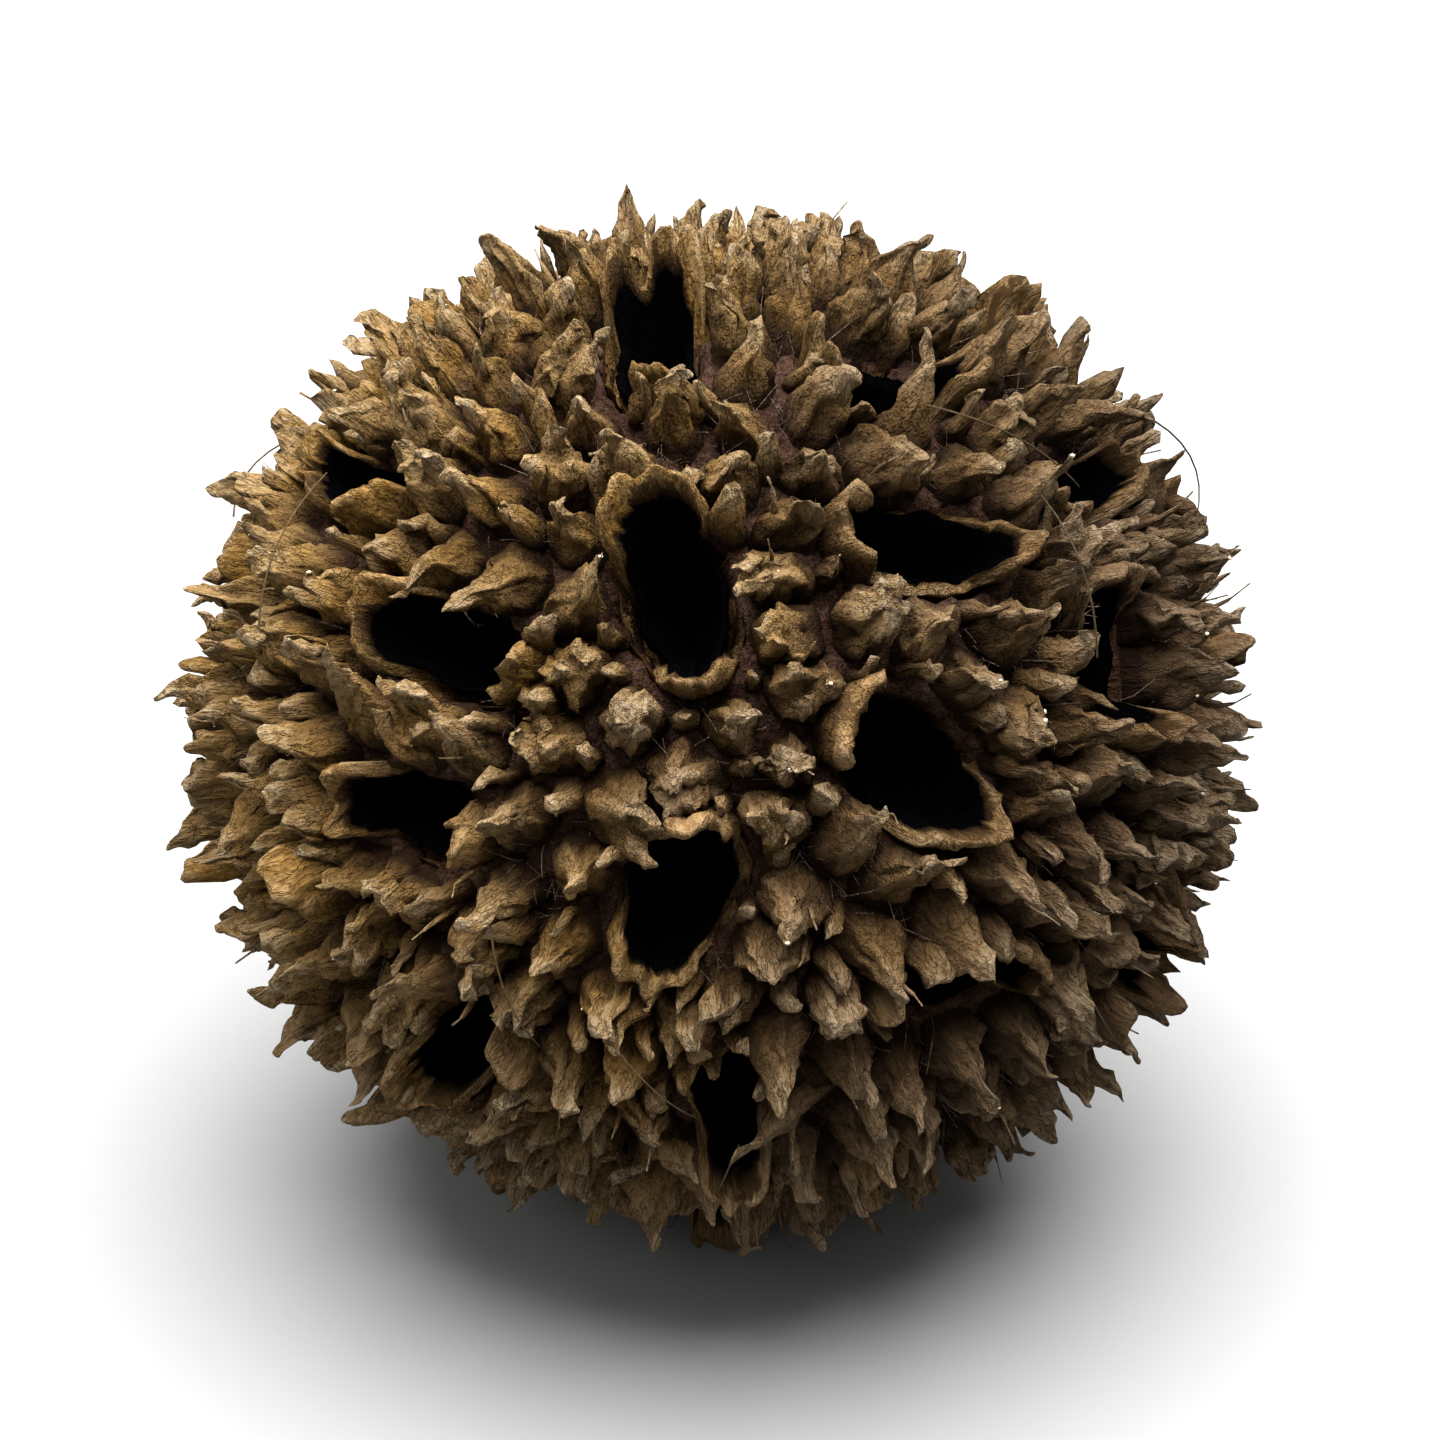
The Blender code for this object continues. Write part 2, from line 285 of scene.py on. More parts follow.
def sortPoints(mesh):  # modelling leaves them in another order on each run, and the crumbs go by it
    def place(corner):
        x, y, z = (round(part * 10000) for part in corner.co)
        return (z * 100000 + x) * 100000 + y

    sorting = bmesh.new()
    sorting.from_mesh(mesh)
    sorting.verts.sort(key=place)
    sorting.to_mesh(mesh)
    sorting.free()


# What the finishes read: fibre coordinates, share of the way to the tip (low shares get painted shade,
# high ones a partly painted highlight), tone of the scale, proud fibres
def addMasks(mesh):
    mesh.attributes.new("grain", "FLOAT_VECTOR", "POINT")
    for name in ("tip", "tone", "proud"):
        mesh.attributes.new(name, "FLOAT", "POINT")


def setMasks(mesh, grain, tip, tone, proud):
    count = len(mesh.vertices)
    mesh.attributes["grain"].data.foreach_set("vector", np.ascontiguousarray(grain, np.float32).ravel())
    for name, values in (("tip", tip), ("tone", tone), ("proud", proud)):
        spread = np.broadcast_to(np.asarray(values, np.float32), count)
        mesh.attributes[name].data.foreach_set("value", np.ascontiguousarray(spread))


def copyOf(master, name):
    copy = master.copy()
    copy.data = master.data.copy()
    copy.name = copy.data.name = name
    bpy.context.scene.collection.objects.link(copy)
    return copy


def shadeSmooth(piece):
    for face in piece.data.polygons:
        face.use_smooth = True


def joinPieces(pieces, name):
    deselectAll()
    for piece in pieces:
        piece.select_set(True)
    bpy.context.view_layer.objects.active = pieces[0]
    bpy.ops.object.join()
    pieces[0].name = pieces[0].data.name = name
    shadeSmooth(pieces[0])
    return pieces[0]


def removePiece(piece):
    bpy.data.objects.remove(piece, do_unlink=True)


def ripples(points, draw, wavelength, waves=9):  # a smooth random push of about -1 to 1, on each axis
    headings = unit(draw.normal(size=(waves, 3)))
    rates = math.tau / wavelength * draw.uniform(0.6, 1.7, waves)
    phases = draw.uniform(0, math.tau, (waves, 3))
    run = points @ headings.T * rates
    return np.sin(run[:, :, None] + phases[None]).sum(axis=1) / math.sqrt(waves)


def smoothStep(low, high, values):
    share = np.clip((values - low) / (high - low), 0, 1)
    return share * share * (3 - 2 * share)


def onFloor(points):  # the tips underneath are trimmed by the surface that the ball lies on
    points[:, 2] = np.maximum(points[:, 2], 0)
    return points


def cellAround(place, others):  # half the way from a scale to each of its neighbours
    heading = Vector(place).normalized()
    side = heading.orthogonal().normalized()
    other = heading.cross(side)
    offset = others - np.array(heading)
    near = np.linalg.norm(offset, axis=1)
    offset = offset[(near > 1e-6) & (near < layout["neighbourhood"])]
    flatX, flatY = offset @ np.array(side), offset @ np.array(other)
    reach = np.hypot(flatX, flatY) * ball["meanRadius"] / 2
    turns = np.arctan2(flatY, flatX)
    return {"heading": heading, "side": side, "other": other, "turns": turns, "reach": reach}


def reachOf(cell, turn, roundness=7):  # how far a scale's ground goes, at each turn round it
    facing = np.clip(np.cos(turn[:, None] - cell["turns"][None]), 0, None)
    return ((facing / cell["reach"][None]) ** roundness).sum(axis=1) ** (-1 / roundness)


# Scales: a few shapes modelled once, then grown on their places, each fitted to its own ground
scaleLook = {
    "seed": 21,
    "rootDepth": 0.28,  # of a scale's height, sunk in the core
    "rootEnd": -0.13,
    "topBand": 0.01,
    "heights": (0.84, 1.10),
    "fills": (0.86, 1.04),  # of the ground between a scale's neighbours
    "lean": 0.75 * mm,
    "overMouth": 2.1 * mm,  # how far a scale beside a mouth leans over its lips
    "overMouthShares": (-0.15, 1),
    "besideMouth": 2.3 * mm,  # how near the long side of a mouth such a scale stands
    "besideLength": 0.42,
    "keel": 0.17,
    "keelCounts": (3, 6),
    "crease": 0.28,
    "creaseCounts": (2, 5),
    "creaseWidth": 0.22,
    "fibre": 0.07,
    "fibreStripes": ((9, 0.6), (14, 0.5)),  # how many half waves go round, and how strong they are
    "waver": 0.8,
    # wavelength, then height
    "lumps": (1.7 * mm, 0.10 * mm),
    "knuckles": (0.8 * mm, 0.07 * mm),
    "grit": (0.4 * mm, 0.03 * mm),
    "ridges": (0.95 * mm, 0.13 * mm),
    # how much slower a pattern runs up a scale than round it
    "gritStretch": (1, 1, 0.45),
    "ridgeStretch": (1, 1, 0.35),
    "grainStretch": (1, 1, 0.16),
    "grainShift": 50,
    "upperFrom": 0.5,
    "lowerFrom": -0.45,
}

# Rings upward: rise, size against the ring below, sideways shift. Prongs: where, then their rings.
toothShapes = {
    "tooth": {
        "sides": 8,
        "rings": (
            (0.18, 0.90, 0, 0),
            (0.26, 0.76, 0.03, 0),
            (0.28, 0.58, 0.05, 0.02),
            (0.28, 0.20, 0.04, 0),
        ),
        "prongs": (),
    },
    "claw": {
        "sides": 8,
        "rings": (
            (0.18, 0.90, 0, 0),
            (0.25, 0.76, 0.06, 0),
            (0.24, 0.66, 0.14, 0),
            (0.20, 0.56, 0.20, 0),
            (0.06, 0.62, 0.20, 0),
        ),
        "prongs": (),
    },
    "molar": {
        "sides": 8,
        "rings": ((0.20, 0.97, 0, 0), (0.26, 0.92, 0, 0), (0.14, 0.88, 0, 0)),
        "prongs": (
            (0, 180, ((0.22, 0.62, 0.10, 0.04), (0.18, 0.5, 0.06, 0.02))),
            (180, 360, ((0.16, 0.64, -0.08, -0.05), (0.12, 0.55, -0.08, -0.02))),
        ),
    },
    "trident": {
        "sides": 9,
        "rings": ((0.20, 0.98, 0, 0), (0.22, 0.95, 0, 0), (0.12, 0.92, 0, 0)),
        "prongs": (
            (0, 120, ((0.22, 0.6, 0.08, 0.08), (0.16, 0.5, 0.05, 0.05))),
            (120, 240, ((0.14, 0.62, -0.12, 0.02), (0.10, 0.55, -0.06, 0))),
            (240, 360, ((0.26, 0.6, 0.05, -0.12), (0.2, 0.5, 0.03, -0.08))),
        ),
    },
    "knob": {
        "sides": 8,
        "rings": ((0.22, 0.90, 0, 0), (0.26, 0.98, 0.02, 0), (0.20, 0.88, 0, 0.02), (0.12, 0.6, 0, 0)),
        "prongs": (),
    },
    "petal": {
        "sides": 8,
        "rings": (
            (0.18, 0.97, 0, 0),
            (0.24, 0.88, 0.02, 0),
            (0.24, 0.74, 0.04, 0),
            (0.22, 0.50, 0.06, 0),
            (0.20, 0.16, 0.06, 0),
        ),
        "prongs": (),
    },
}


def trimRoot(piece, level):  # the part of a root that no one sees becomes one flat face
    deselectAll()
    piece.select_set(True)
    bpy.context.view_layer.objects.active = piece
    bpy.ops.object.mode_set(mode="EDIT")
    bpy.ops.mesh.select_mode(type="FACE")
    selectFaces(piece, lambda face: face.calc_center_median().z < level)
    bpy.ops.mesh.delete(type="FACE")
    bpy.ops.mesh.select_mode(type="EDGE")
    bpy.ops.mesh.select_all(action="DESELECT")
    bpy.ops.mesh.select_non_manifold()
    bpy.ops.mesh.edge_face_add()
    bpy.ops.mesh.select_all(action="SELECT")
    bpy.ops.mesh.normals_make_consistent(inside=False)
    bpy.ops.object.mode_set(mode="OBJECT")


def toothMaster(name, shape, levels=2):
    deselectAll()
    depth = scaleLook["rootDepth"]
    bpy.ops.mesh.primitive_cylinder_add(
        vertices=shape["sides"], radius=1, depth=depth, location=(0, 0, -depth / 2)
    )
    tooth = startPiece("shape_" + name)
    bpy.ops.mesh.select_all(action="SELECT")
    bpy.ops.transform.translate(value=(0, 0, -depth / 2))
    bpy.ops.mesh.select_all(action="DESELECT")
    top = max(corner.co.z for corner in bmesh.from_edit_mesh(tooth.data).verts)
    selectAbove(tooth, top - scaleLook["topBand"])
    for rise, size, shiftX, shiftY in shape["rings"]:
        growRing(tooth, rise, size, (shiftX, shiftY))
    if shape["prongs"]:
        bpy.ops.mesh.poke()
    height = max(corner.co.z for corner in bmesh.from_edit_mesh(tooth.data).verts)
    for first, last, rings in shape["prongs"]:

        def inSector(face):
            middle = face.calc_center_median()
            turn = math.degrees(math.atan2(middle.y, middle.x)) % 360
            return middle.z > height - scaleLook["topBand"] and first <= turn < last

        selectFaces(tooth, inSector)
        for rise, size, shiftX, shiftY in rings:
            growRing(tooth, rise, size, (shiftX, shiftY))
    bpy.ops.object.mode_set(mode="OBJECT")
    bpy.ops.object.transform_apply(location=True, rotation=True, scale=True)
    smoothPiece(tooth, levels)
    trimRoot(tooth, scaleLook["rootEnd"])
    points = pointsOf(tooth.data)
    points[:, 2] /= points[:, 2].max()
    setPoints(tooth.data, points)
    sortPoints(tooth.data)
    addMasks(tooth.data)
    return tooth


def ripplesOf(kind, points, draw):
    wavelength, height = scaleLook[kind]
    return ripples(points, draw, wavelength) * height


def grainOf(local, draw):  # fibre coordinates in mm, stretched along the scale and shifted at random
    shift = draw.uniform(-scaleLook["grainShift"], scaleLook["grainShift"], 3)
    return local / mm * scaleLook["grainStretch"] + shift


def growScale(master, name, cell, look, draw):
    points = pointsOf(master.data)
    turn = np.arctan2(points[:, 1], points[:, 0])
    radius = np.hypot(points[:, 0], points[:, 1])
    up = np.clip(points[:, 2], 0, 1)

    # Keels, creases and fibres, carved into its sides
    def waveRound(count):
        phase = draw.uniform(0, math.tau)
        return np.sin(count / 2 * turn + phase + up * draw.normal(0, scaleLook["waver"]))

    keels = np.abs(waveRound(draw.integers(*scaleLook["keelCounts"])))
    creases = waveRound(draw.integers(*scaleLook["creaseCounts"])) / scaleLook["creaseWidth"]
    creases = np.exp(-(creases**2))
    stripes = np.zeros(len(points))
    for count, strength in scaleLook["fibreStripes"]:
        stripes += (1.2 - 2 * np.abs(waveRound(count)) ** 0.7) * strength
    carve = scaleLook["keel"] * (keels - 0.5) * 2 - scaleLook["crease"] * creases * look["rough"]
    radius = radius * (1 + (carve + scaleLook["fibre"] * stripes) * smoothStep(0.02, 0.35, up))

    # Twisted, and as wide as its own ground at the root
    spin = draw.uniform(0, math.tau)
    turn = turn + spin + look["twist"] * draw.normal() * up
    ground = reachOf(cell, turn)
    typical = np.median(ground)
    blend = smoothStep(0.1, 0.9, up)
    fill = draw.uniform(*scaleLook["fills"])
    reach = (ground * (1 - blend) + typical * blend) * fill * look["fill"]
    flatX, flatY = radius * reach * np.cos(turn), radius * reach * np.sin(turn)

    # Pressed flat one way and cupped the other
    wide = draw.uniform(0, math.pi)
    along = flatX * math.cos(wide) + flatY * math.sin(wide)
    thin = -flatX * math.sin(wide) + flatY * math.cos(wide)
    thin = thin * (1 - look["thin"] * smoothStep(0.05, 0.8, up))
    thin = thin + look["cup"] * (along / typical) ** 2 * typical * up
    flatX = along * math.cos(wide) - thin * math.sin(wide)
    flatY = along * math.sin(wide) + thin * math.cos(wide)

    # Leaning, and set on the ball with a rough skin
    leanTurn = draw.uniform(0, math.tau)
    lean = scaleLook["lean"] * look["lean"] * abs(draw.normal(0.6, 0.5)) * up**1.7
    heading, side, other = (np.array(cell[key]) for key in ("heading", "side", "other"))
    overMouth = scaleLook["overMouth"] * draw.uniform(*scaleLook["overMouthShares"]) * up**1.5
    flatX = flatX + lean * math.cos(leanTurn) + overMouth * (look["towards"] @ side)
    flatY = flatY + lean * math.sin(leanTurn) + overMouth * (look["towards"] @ other)
    base = np.array(surface(heading, ball["grooveShare"]))
    tall = np.linalg.norm(np.array(surface(heading, 1)) - base) * look["height"]
    local = np.stack([flatX, flatY, points[:, 2] * tall], axis=1)
    lumps = ripplesOf("lumps", local, draw)
    lumps += ripplesOf("knuckles", local, draw) * look["rough"]
    grit = ripplesOf("grit", local * scaleLook["gritStretch"], draw)
    ridgeWave, ridgeHeight = scaleLook["ridges"]
    ridges = 0.45 - np.abs(ripples(local * scaleLook["ridgeStretch"], draw, ridgeWave)[:, :1])
    outward = np.stack([flatX, flatY, 0 * flatX], axis=1)
    outward = outward / np.maximum(np.hypot(flatX, flatY), 0.2 * mm)[:, None]
    aboveRoot = smoothStep(0, 0.3, up)[:, None]
    local = local + (lumps + ridges * ridgeHeight * outward) * aboveRoot + grit
    placed = onFloor(base + local @ np.stack([side, other, heading]) + lift)

    copy = copyOf(master, name)
    setPoints(copy.data, placed)
    grain = grainOf(local, draw)
    proud = 0.58 + 0.3 * stripes + 0.35 * (keels - 0.5) - 0.75 * creases + 0.5 * ridges[:, 0]
    setMasks(copy.data, grain, up, draw.uniform(0, 1), np.clip(proud, 0, 1))
    return copy


# Where the scales are blunt knobs: a patch on the photo's side, and patches by noise on the hidden sides
knobbyPatch = {
    "heading": Vector((-0.02, -0.86, 0.40)).normalized(),
    "radius": 0.8,
    "shownFrom": 0.2,
    "hiddenMiddle": 0.5,
    "hiddenSpread": 0.9,
    "hiddenWaves": 2.1,
    "hiddenShift": Vector((3, 8, 1)),
}


def zoneOf(heading):  # 0 where scales are warty knobs, 1 where they are long and pointed
    tilt = layout["viewElevation"]
    near = Vector((0, -math.cos(tilt), math.sin(tilt)))
    if heading.dot(near) > knobbyPatch["shownFrom"]:
        return min(1, heading.angle(knobbyPatch["heading"]) / knobbyPatch["radius"])
    spot = heading * knobbyPatch["hiddenWaves"] + knobbyPatch["hiddenShift"]
    return knobbyPatch["hiddenMiddle"] + knobbyPatch["hiddenSpread"] * noise.noise(spot)


# How much of its ground a shape fills, how tall it is, and how flat, cupped, leaning, twisted and rough
lookNames = ("fill", "height", "thin", "cup", "lean", "twist", "rough")
shapeLooks = {
    "tooth": (1.0, 1.0, 0.45, 0.15, 0.9, 0.25, 1.0),
    "claw": (0.97, 1.0, 0.35, 0.2, 0.6, 0.3, 1.0),
    "molar": (0.92, 0.9, 0.25, 0.1, 0.7, 0.3, 1.2),
    "trident": (0.88, 0.88, 0.1, 0.0, 0.6, 0.3, 1.3),
    "knob": (0.82, 0.80, 0.15, 0.0, 0.7, 0.5, 1.5),
    "petal": (1.0, 1.12, 0.6, 0.35, 0.9, 0.2, 0.8),
}

# How often each shape stands in a knobby patch, then among the pointed scales
shapeChances = {
    "knob": (0.42, 0.02),
    "trident": (0.2, 0.08),
    "molar": (0.2, 0.16),
    "tooth": (0.1, 0.30),
    "claw": (0.08, 0.22),
    "petal": (0.0, 0.22),
}


def towardsMouth(heading):  # from a scale beside the long side of a mouth, the way to that mouth
    place = np.array(heading)
    for mouth in mouths:
        direction, along, across = (np.array(v) for v in (mouth.direction, mouth.along, mouth.across))
        offset = (place - direction) * ball["meanRadius"]
        sideways, lengthways = offset @ across, offset @ along
        near = abs(sideways) < mouth.width / 2 + scaleLook["besideMouth"]
        beside = near and abs(lengthways) < mouth.length * scaleLook["besideLength"]
        if beside and place @ direction > 0.5:
            return -across * math.copysign(1, sideways)
    return np.zeros(3)


def pickShape(zone, draw):
    knobby, pointed = np.array(list(shapeChances.values())).T
    chances = knobby * (1 - zone) + pointed * zone
    return list(shapeChances)[draw.choice(len(shapeChances), p=chances / chances.sum())]


smallLook = {
    "seed": 27,
    "sides": 6,
    "groundTurns": 8,
    "candidates": 9000,
    "nearest": 0.88 * mm,  # the least way from a scale's middle to a small one's
    "offMouth": 0.6 * mm,
    "offFoot": 0.36,
    "most": 400,
    "radii": (0.45 * mm, 0.75 * mm),
    "heights": (0.50, 0.90),
}
smallShapes = {
    "bead": ((0.22, 0.9, 0, 0), (0.3, 1.0, 0.05, 0), (0.25, 0.8, 0, 0.05)),
    "peg": ((0.22, 0.8, 0, 0), (0.35, 0.7, 0.08, 0), (0.3, 0.8, 0.1, 0)),
    "thorn": ((0.2, 0.85, 0, 0), (0.35, 0.65, 0.08, 0), (0.35, 0.4, 0.1, 0.05)),
    "chip": ((0.2, 0.9, 0, 0), (0.35, 0.8, 0.1, 0), (0.3, 0.5, 0.2, 0)),
}
smallShapeLook = {"fill": 1.0, "thin": 0.3, "cup": 0.1, "lean": 0.9, "twist": 0.4, "rough": 1.2}


def smallPlaces():  # in the widest gaps between scales, widest first
    spots = spiral(smallLook["candidates"])
    others = np.concatenate([scales, [np.array(ball["stalkDirection"])]])
    reach = np.linalg.norm(spots[:, None] - others[None], axis=2).min(axis=1) * ball["meanRadius"]
    for mouth in mouths:
        direction, along = np.array(mouth.direction), np.array(mouth.along)
        offset = spots - direction
        half = (mouth.length - mouth.width) / 2 / ball["meanRadius"]
        run = np.clip(offset @ along, -half, half)
        apart = np.linalg.norm(offset - run[:, None] * along, axis=1) * ball["meanRadius"]
        reach[apart - mouth.width / 2 < smallLook["offMouth"]] = 0
    reach[spots[:, 2] < -math.cos(smallLook["offFoot"])] = 0
    found = []
    while len(found) < smallLook["most"] and reach.max() > smallLook["nearest"]:
        found.append(spots[reach.argmax()])
        reach = np.minimum(reach, np.linalg.norm(spots - found[-1], axis=1) * ball["meanRadius"])
    return found


def makeSmallScales():
    draw = np.random.default_rng(smallLook["seed"])
    masters = []
    for name, rings in smallShapes.items():
        shape = {"sides": smallLook["sides"], "rings": rings, "prongs": ()}
        masters.append(toothMaster(name, shape, levels=1))
    turns = np.arange(smallLook["groundTurns"]) * math.tau / smallLook["groundTurns"]
    copies = []
    for number, place in enumerate(smallPlaces()):
        heading = Vector(place)
        side = heading.orthogonal().normalized()
        other = heading.cross(side)
        reach = draw.uniform(*smallLook["radii"]) * np.ones(len(turns))
        cell = {"heading": heading, "side": side, "other": other, "turns": turns, "reach": reach}
        look = dict(smallShapeLook, height=draw.uniform(*smallLook["heights"]), towards=np.zeros(3))
        master = masters[draw.integers(0, len(masters))]
        copies.append(growScale(master, f"small_{number}", cell, look, draw))
    for master in masters:
        removePiece(master)
    return joinPieces(copies, "small_scales")


def makeScales():
    draw = np.random.default_rng(scaleLook["seed"])
    masters = {name: toothMaster(name, shape) for name, shape in toothShapes.items()}
    makers = [np.array(maker) for mouth in mouths for maker in mouth.makers()]
    everyone = np.concatenate([scales, makers, [np.array(ball["stalkDirection"])]])
    groups = {"scales_front": [], "scales_upper": [], "scales_back": [], "scales_lower": []}
    for number in range(1, len(scales)):
        heading = Vector(scales[number])
        name = pickShape(min(1, max(0, zoneOf(heading))), draw)
        look = dict(zip(lookNames, shapeLooks[name]))
        look["height"] *= draw.uniform(*scaleLook["heights"])
        look["towards"] = towardsMouth(heading)
        cell = cellAround(heading, everyone)
        scale = growScale(masters[name], f"scale_{number}", cell, look, draw)
        if heading.z > scaleLook["upperFrom"]:
            groups["scales_upper"].append(scale)
        elif heading.z < scaleLook["lowerFrom"]:
            groups["scales_lower"].append(scale)
        else:
            groups["scales_front" if heading.y < 0 else "scales_back"].append(scale)
    for master in masters.values():
        removePiece(master)
    return [joinPieces(copies, name) for name, copies in groups.items()]


def triangles(piece):
    return sum(len(face.vertices) - 2 for face in piece.data.polygons)


scalePieces = makeScales() + [makeSmallScales()]
print("scales:", {piece.name: triangles(piece) for piece in scalePieces}, "triangles")


# Mouths: one lipped cup, modelled once, and fitted to the oval of each capsule
mouthLook = {
    "seed": 33,
    "sides": 36,
    "nominal": 2.0,  # the lip's radius on the shape that is modelled once, in mm
    # rings from the outer foot over the lip down to the pit's floor: out from the opening, height
    "rings": (
        (0.70, -0.7),
        (0.56, 0.35),
        (0.48, 1.10),
        (0.43, 1.62),
        (0.34, 1.87),
        (0.20, 1.93),
        (0.08, 1.80),
        (0.02, 1.3),
        (-0.06, 0.2),
        (-0.40, -1.3),
        (-1.20, -2.7),
    ),
    "crest": 1.93,
    "sideShares": (0.68, 0.822),
    "beakShares": (0.935, 1.025),
    "beakWidth": (0.46, 0.90),
    "wall": 0.85,  # how thick the lip is on its long sides, against the shape
    "plate": 1.15,  # and at its two ends
    "notches": 4,
    "notchDepths": (0.1, 0.5),
    "notchWidths": (0.09, 0.2),
    "flare": 0.30 * mm,
    "fibre": 0.05 * mm,
    "fibreCounts": (19, 31),
    "ragged": 0.11,
    "raggedWaves": (2, 3, 5, 8, 13),
    "wander": ((1, 0.25), (3, 0.2)),  # waves round a lip, and how far they turn its two ends
    # wavelength, then height
    "lumps": (1.6 * mm, 0.09 * mm),
    "pimples": (0.5 * mm, 0.03 * mm),
    "innerFrom": 0.12 * mm,
    "pitDepths": (0.4, 1.8),  # heights in mm over which the painted shade on the wall gives way to its own colour
    "grainScale": (2.2, 0.35),
}


def mouthMaster():
    deselectAll()
    sides, nominal, rings = mouthLook["sides"], mouthLook["nominal"], mouthLook["rings"]
    firstOut, firstHeight = rings[0]
    bpy.ops.mesh.primitive_circle_add(
        vertices=sides, radius=nominal + firstOut, fill_type="NOTHING", location=(0, 0, 0)
    )
    cup = bpy.context.active_object
    cup.name = cup.data.name = "shape_mouth"
    bpy.ops.object.mode_set(mode="EDIT")
    bpy.ops.mesh.select_mode(type="VERT")
    bpy.ops.mesh.select_all(action="SELECT")
    bpy.ops.transform.translate(value=(0, 0, firstHeight))
    for (out, height), (nextOut, nextHeight) in zip(rings, rings[1:]):
        bpy.ops.mesh.extrude_region_move(TRANSFORM_OT_translate={"value": (0, 0, nextHeight - height)})
        size = (nominal + nextOut) / (nominal + out)
        bpy.ops.transform.resize(value=(size, size, 1), center_override=(0, 0, nextHeight))
    bpy.ops.mesh.edge_face_add()
    bpy.ops.mesh.poke()
    bpy.ops.mesh.select_all(action="SELECT")
    bpy.ops.mesh.normals_make_consistent(inside=False)
    bpy.ops.object.mode_set(mode="OBJECT")
    smoothPiece(cup, 1)
    addMasks(cup.data)
    return cup


def fitMouth(master, name, mouth, draw):
    points = pointsOf(master.data)
    turn = np.arctan2(points[:, 1], points[:, 0])
    out = (np.hypot(points[:, 0], points[:, 1]) - mouthLook["nominal"]) * mm
    height = points[:, 2]
    wander = np.zeros(len(points))
    for count, size in mouthLook["wander"]:
        wander += size * np.sin(count * turn + draw.uniform(0, math.tau))
    lengthways, sideways = np.cos(turn + wander), np.sin(turn + wander)
    nearBeak = smoothStep(*mouthLook["beakWidth"], np.abs(lengthways))
    beakOne, beakTwo = draw.uniform(*mouthLook["beakShares"], 2)
    sideOne, sideTwo = draw.uniform(*mouthLook["sideShares"], 2)
    atBeak = beakTwo + (beakOne - beakTwo) * smoothStep(-0.5, 0.5, lengthways)
    atSide = sideTwo + (sideOne - sideTwo) * smoothStep(-0.5, 0.5, sideways)
    share = atSide + (atBeak - atSide) * nearBeak
    ragged = np.zeros(len(points))
    for count in mouthLook["raggedWaves"]:
        ragged += np.sin(count * turn + draw.uniform(0, math.tau)) / math.sqrt(count)
    climb = (share - ball["grooveShare"]) * ball["meanRadius"] * (1 + mouthLook["ragged"] * ragged)
    for _ in range(mouthLook["notches"]):
        off = np.angle(np.exp(1j * (turn - draw.uniform(0, math.tau))))
        depth = draw.uniform(*mouthLook["notchDepths"])
        width = draw.uniform(*mouthLook["notchWidths"])
        climb = climb * (1 - depth * np.exp(-((off / width) ** 2)))
    rise = np.where(height > 0, height / mouthLook["crest"] * climb, height * mm)
    crestShare = np.clip(height / mouthLook["crest"], 0, 1)
    out = out + mouthLook["flare"] * crestShare**2 * (0.4 + ragged * 0.5) * (out > -0.3 * mm)
    stripes = np.full(len(points), -1.2)
    for count in mouthLook["fibreCounts"]:
        stripes += np.abs(np.sin(count / 2 * turn + draw.uniform(0, math.tau)))
    out = out + mouthLook["fibre"] * stripes * (height > -0.5)
    thickness = mouthLook["wall"] + (mouthLook["plate"] - mouthLook["wall"]) * nearBeak
    out = np.where(out > 0, out * thickness, out)

    inner = np.clip(1 + np.minimum(out, 0) / (mouthLook["nominal"] * mm), 0, 1)
    outside = np.clip(out, 0, None)
    halfLength, halfWidth = mouth.length / 2, mouth.width / 2
    flatX = (halfLength * inner + outside) * np.cos(turn) / ball["meanRadius"]
    flatY = (halfWidth * inner + outside) * np.sin(turn) / ball["meanRadius"]
    direction, along, across = (np.array(v) for v in (mouth.direction, mouth.along, mouth.across))
    headings = unit(direction + flatX[:, None] * along + flatY[:, None] * across)
    base = np.linalg.norm(np.array(surface(mouth.direction, ball["grooveShare"])))
    local = headings * (base + rise)[:, None]
    lumps = np.zeros((len(points), 3))
    for wavelength, size in (mouthLook["lumps"], mouthLook["pimples"]):
        lumps += ripples(local, draw, wavelength) * size
    copy = copyOf(master, name)
    setPoints(copy.data, onFloor(local + lumps + lift))
    # lit is 0 deep in the pit and 1 higher up; the finish paints shade where it is low
    lit = smoothStep(*mouthLook["pitDepths"], height)
    isInner = out < mouthLook["innerFrom"]
    tip = np.where(isInner, lit, crestShare)
    roundScale, upScale = mouthLook["grainScale"]
    shift = draw.uniform(-scaleLook["grainShift"], scaleLook["grainShift"], 3)
    grain = np.stack([turn * roundScale, height * upScale, out / mm], axis=1) + shift
    proud = np.where(isInner, 0.35 * lit, 0.55 + 0.15 * ragged + 0.35 * stripes)
    tone = np.where(isInner, -1.0, draw.uniform(0, 1))
    setMasks(copy.data, grain, tip, tone, np.clip(proud, 0, 1))
    return copy


def makeMouths():
    draw = np.random.default_rng(mouthLook["seed"])
    master = mouthMaster()
    cups = [fitMouth(master, f"mouth_{number}", mouth, draw) for number, mouth in enumerate(mouths)]
    removePiece(master)
    return joinPieces(cups, "capsule_mouths")


mouthPiece = makeMouths()
print("mouths:", triangles(mouthPiece), "triangles")


# Core: the felted body that fills the grooves, sunk where the capsules open
coreLook = {
    "seed": 5,
    "subdivisions": 6,
    "felt": 0.16 * mm,
    "feltWaves": 14,
    "feltLengths": (1.1 * mm, 0.55 * mm),
    "fineShare": 0.6,
    "pitShare": 0.60,
    "pitRim": (0.8, 1.05),
    "pitGrowth": 0.35,  # of the lip's thickness
}


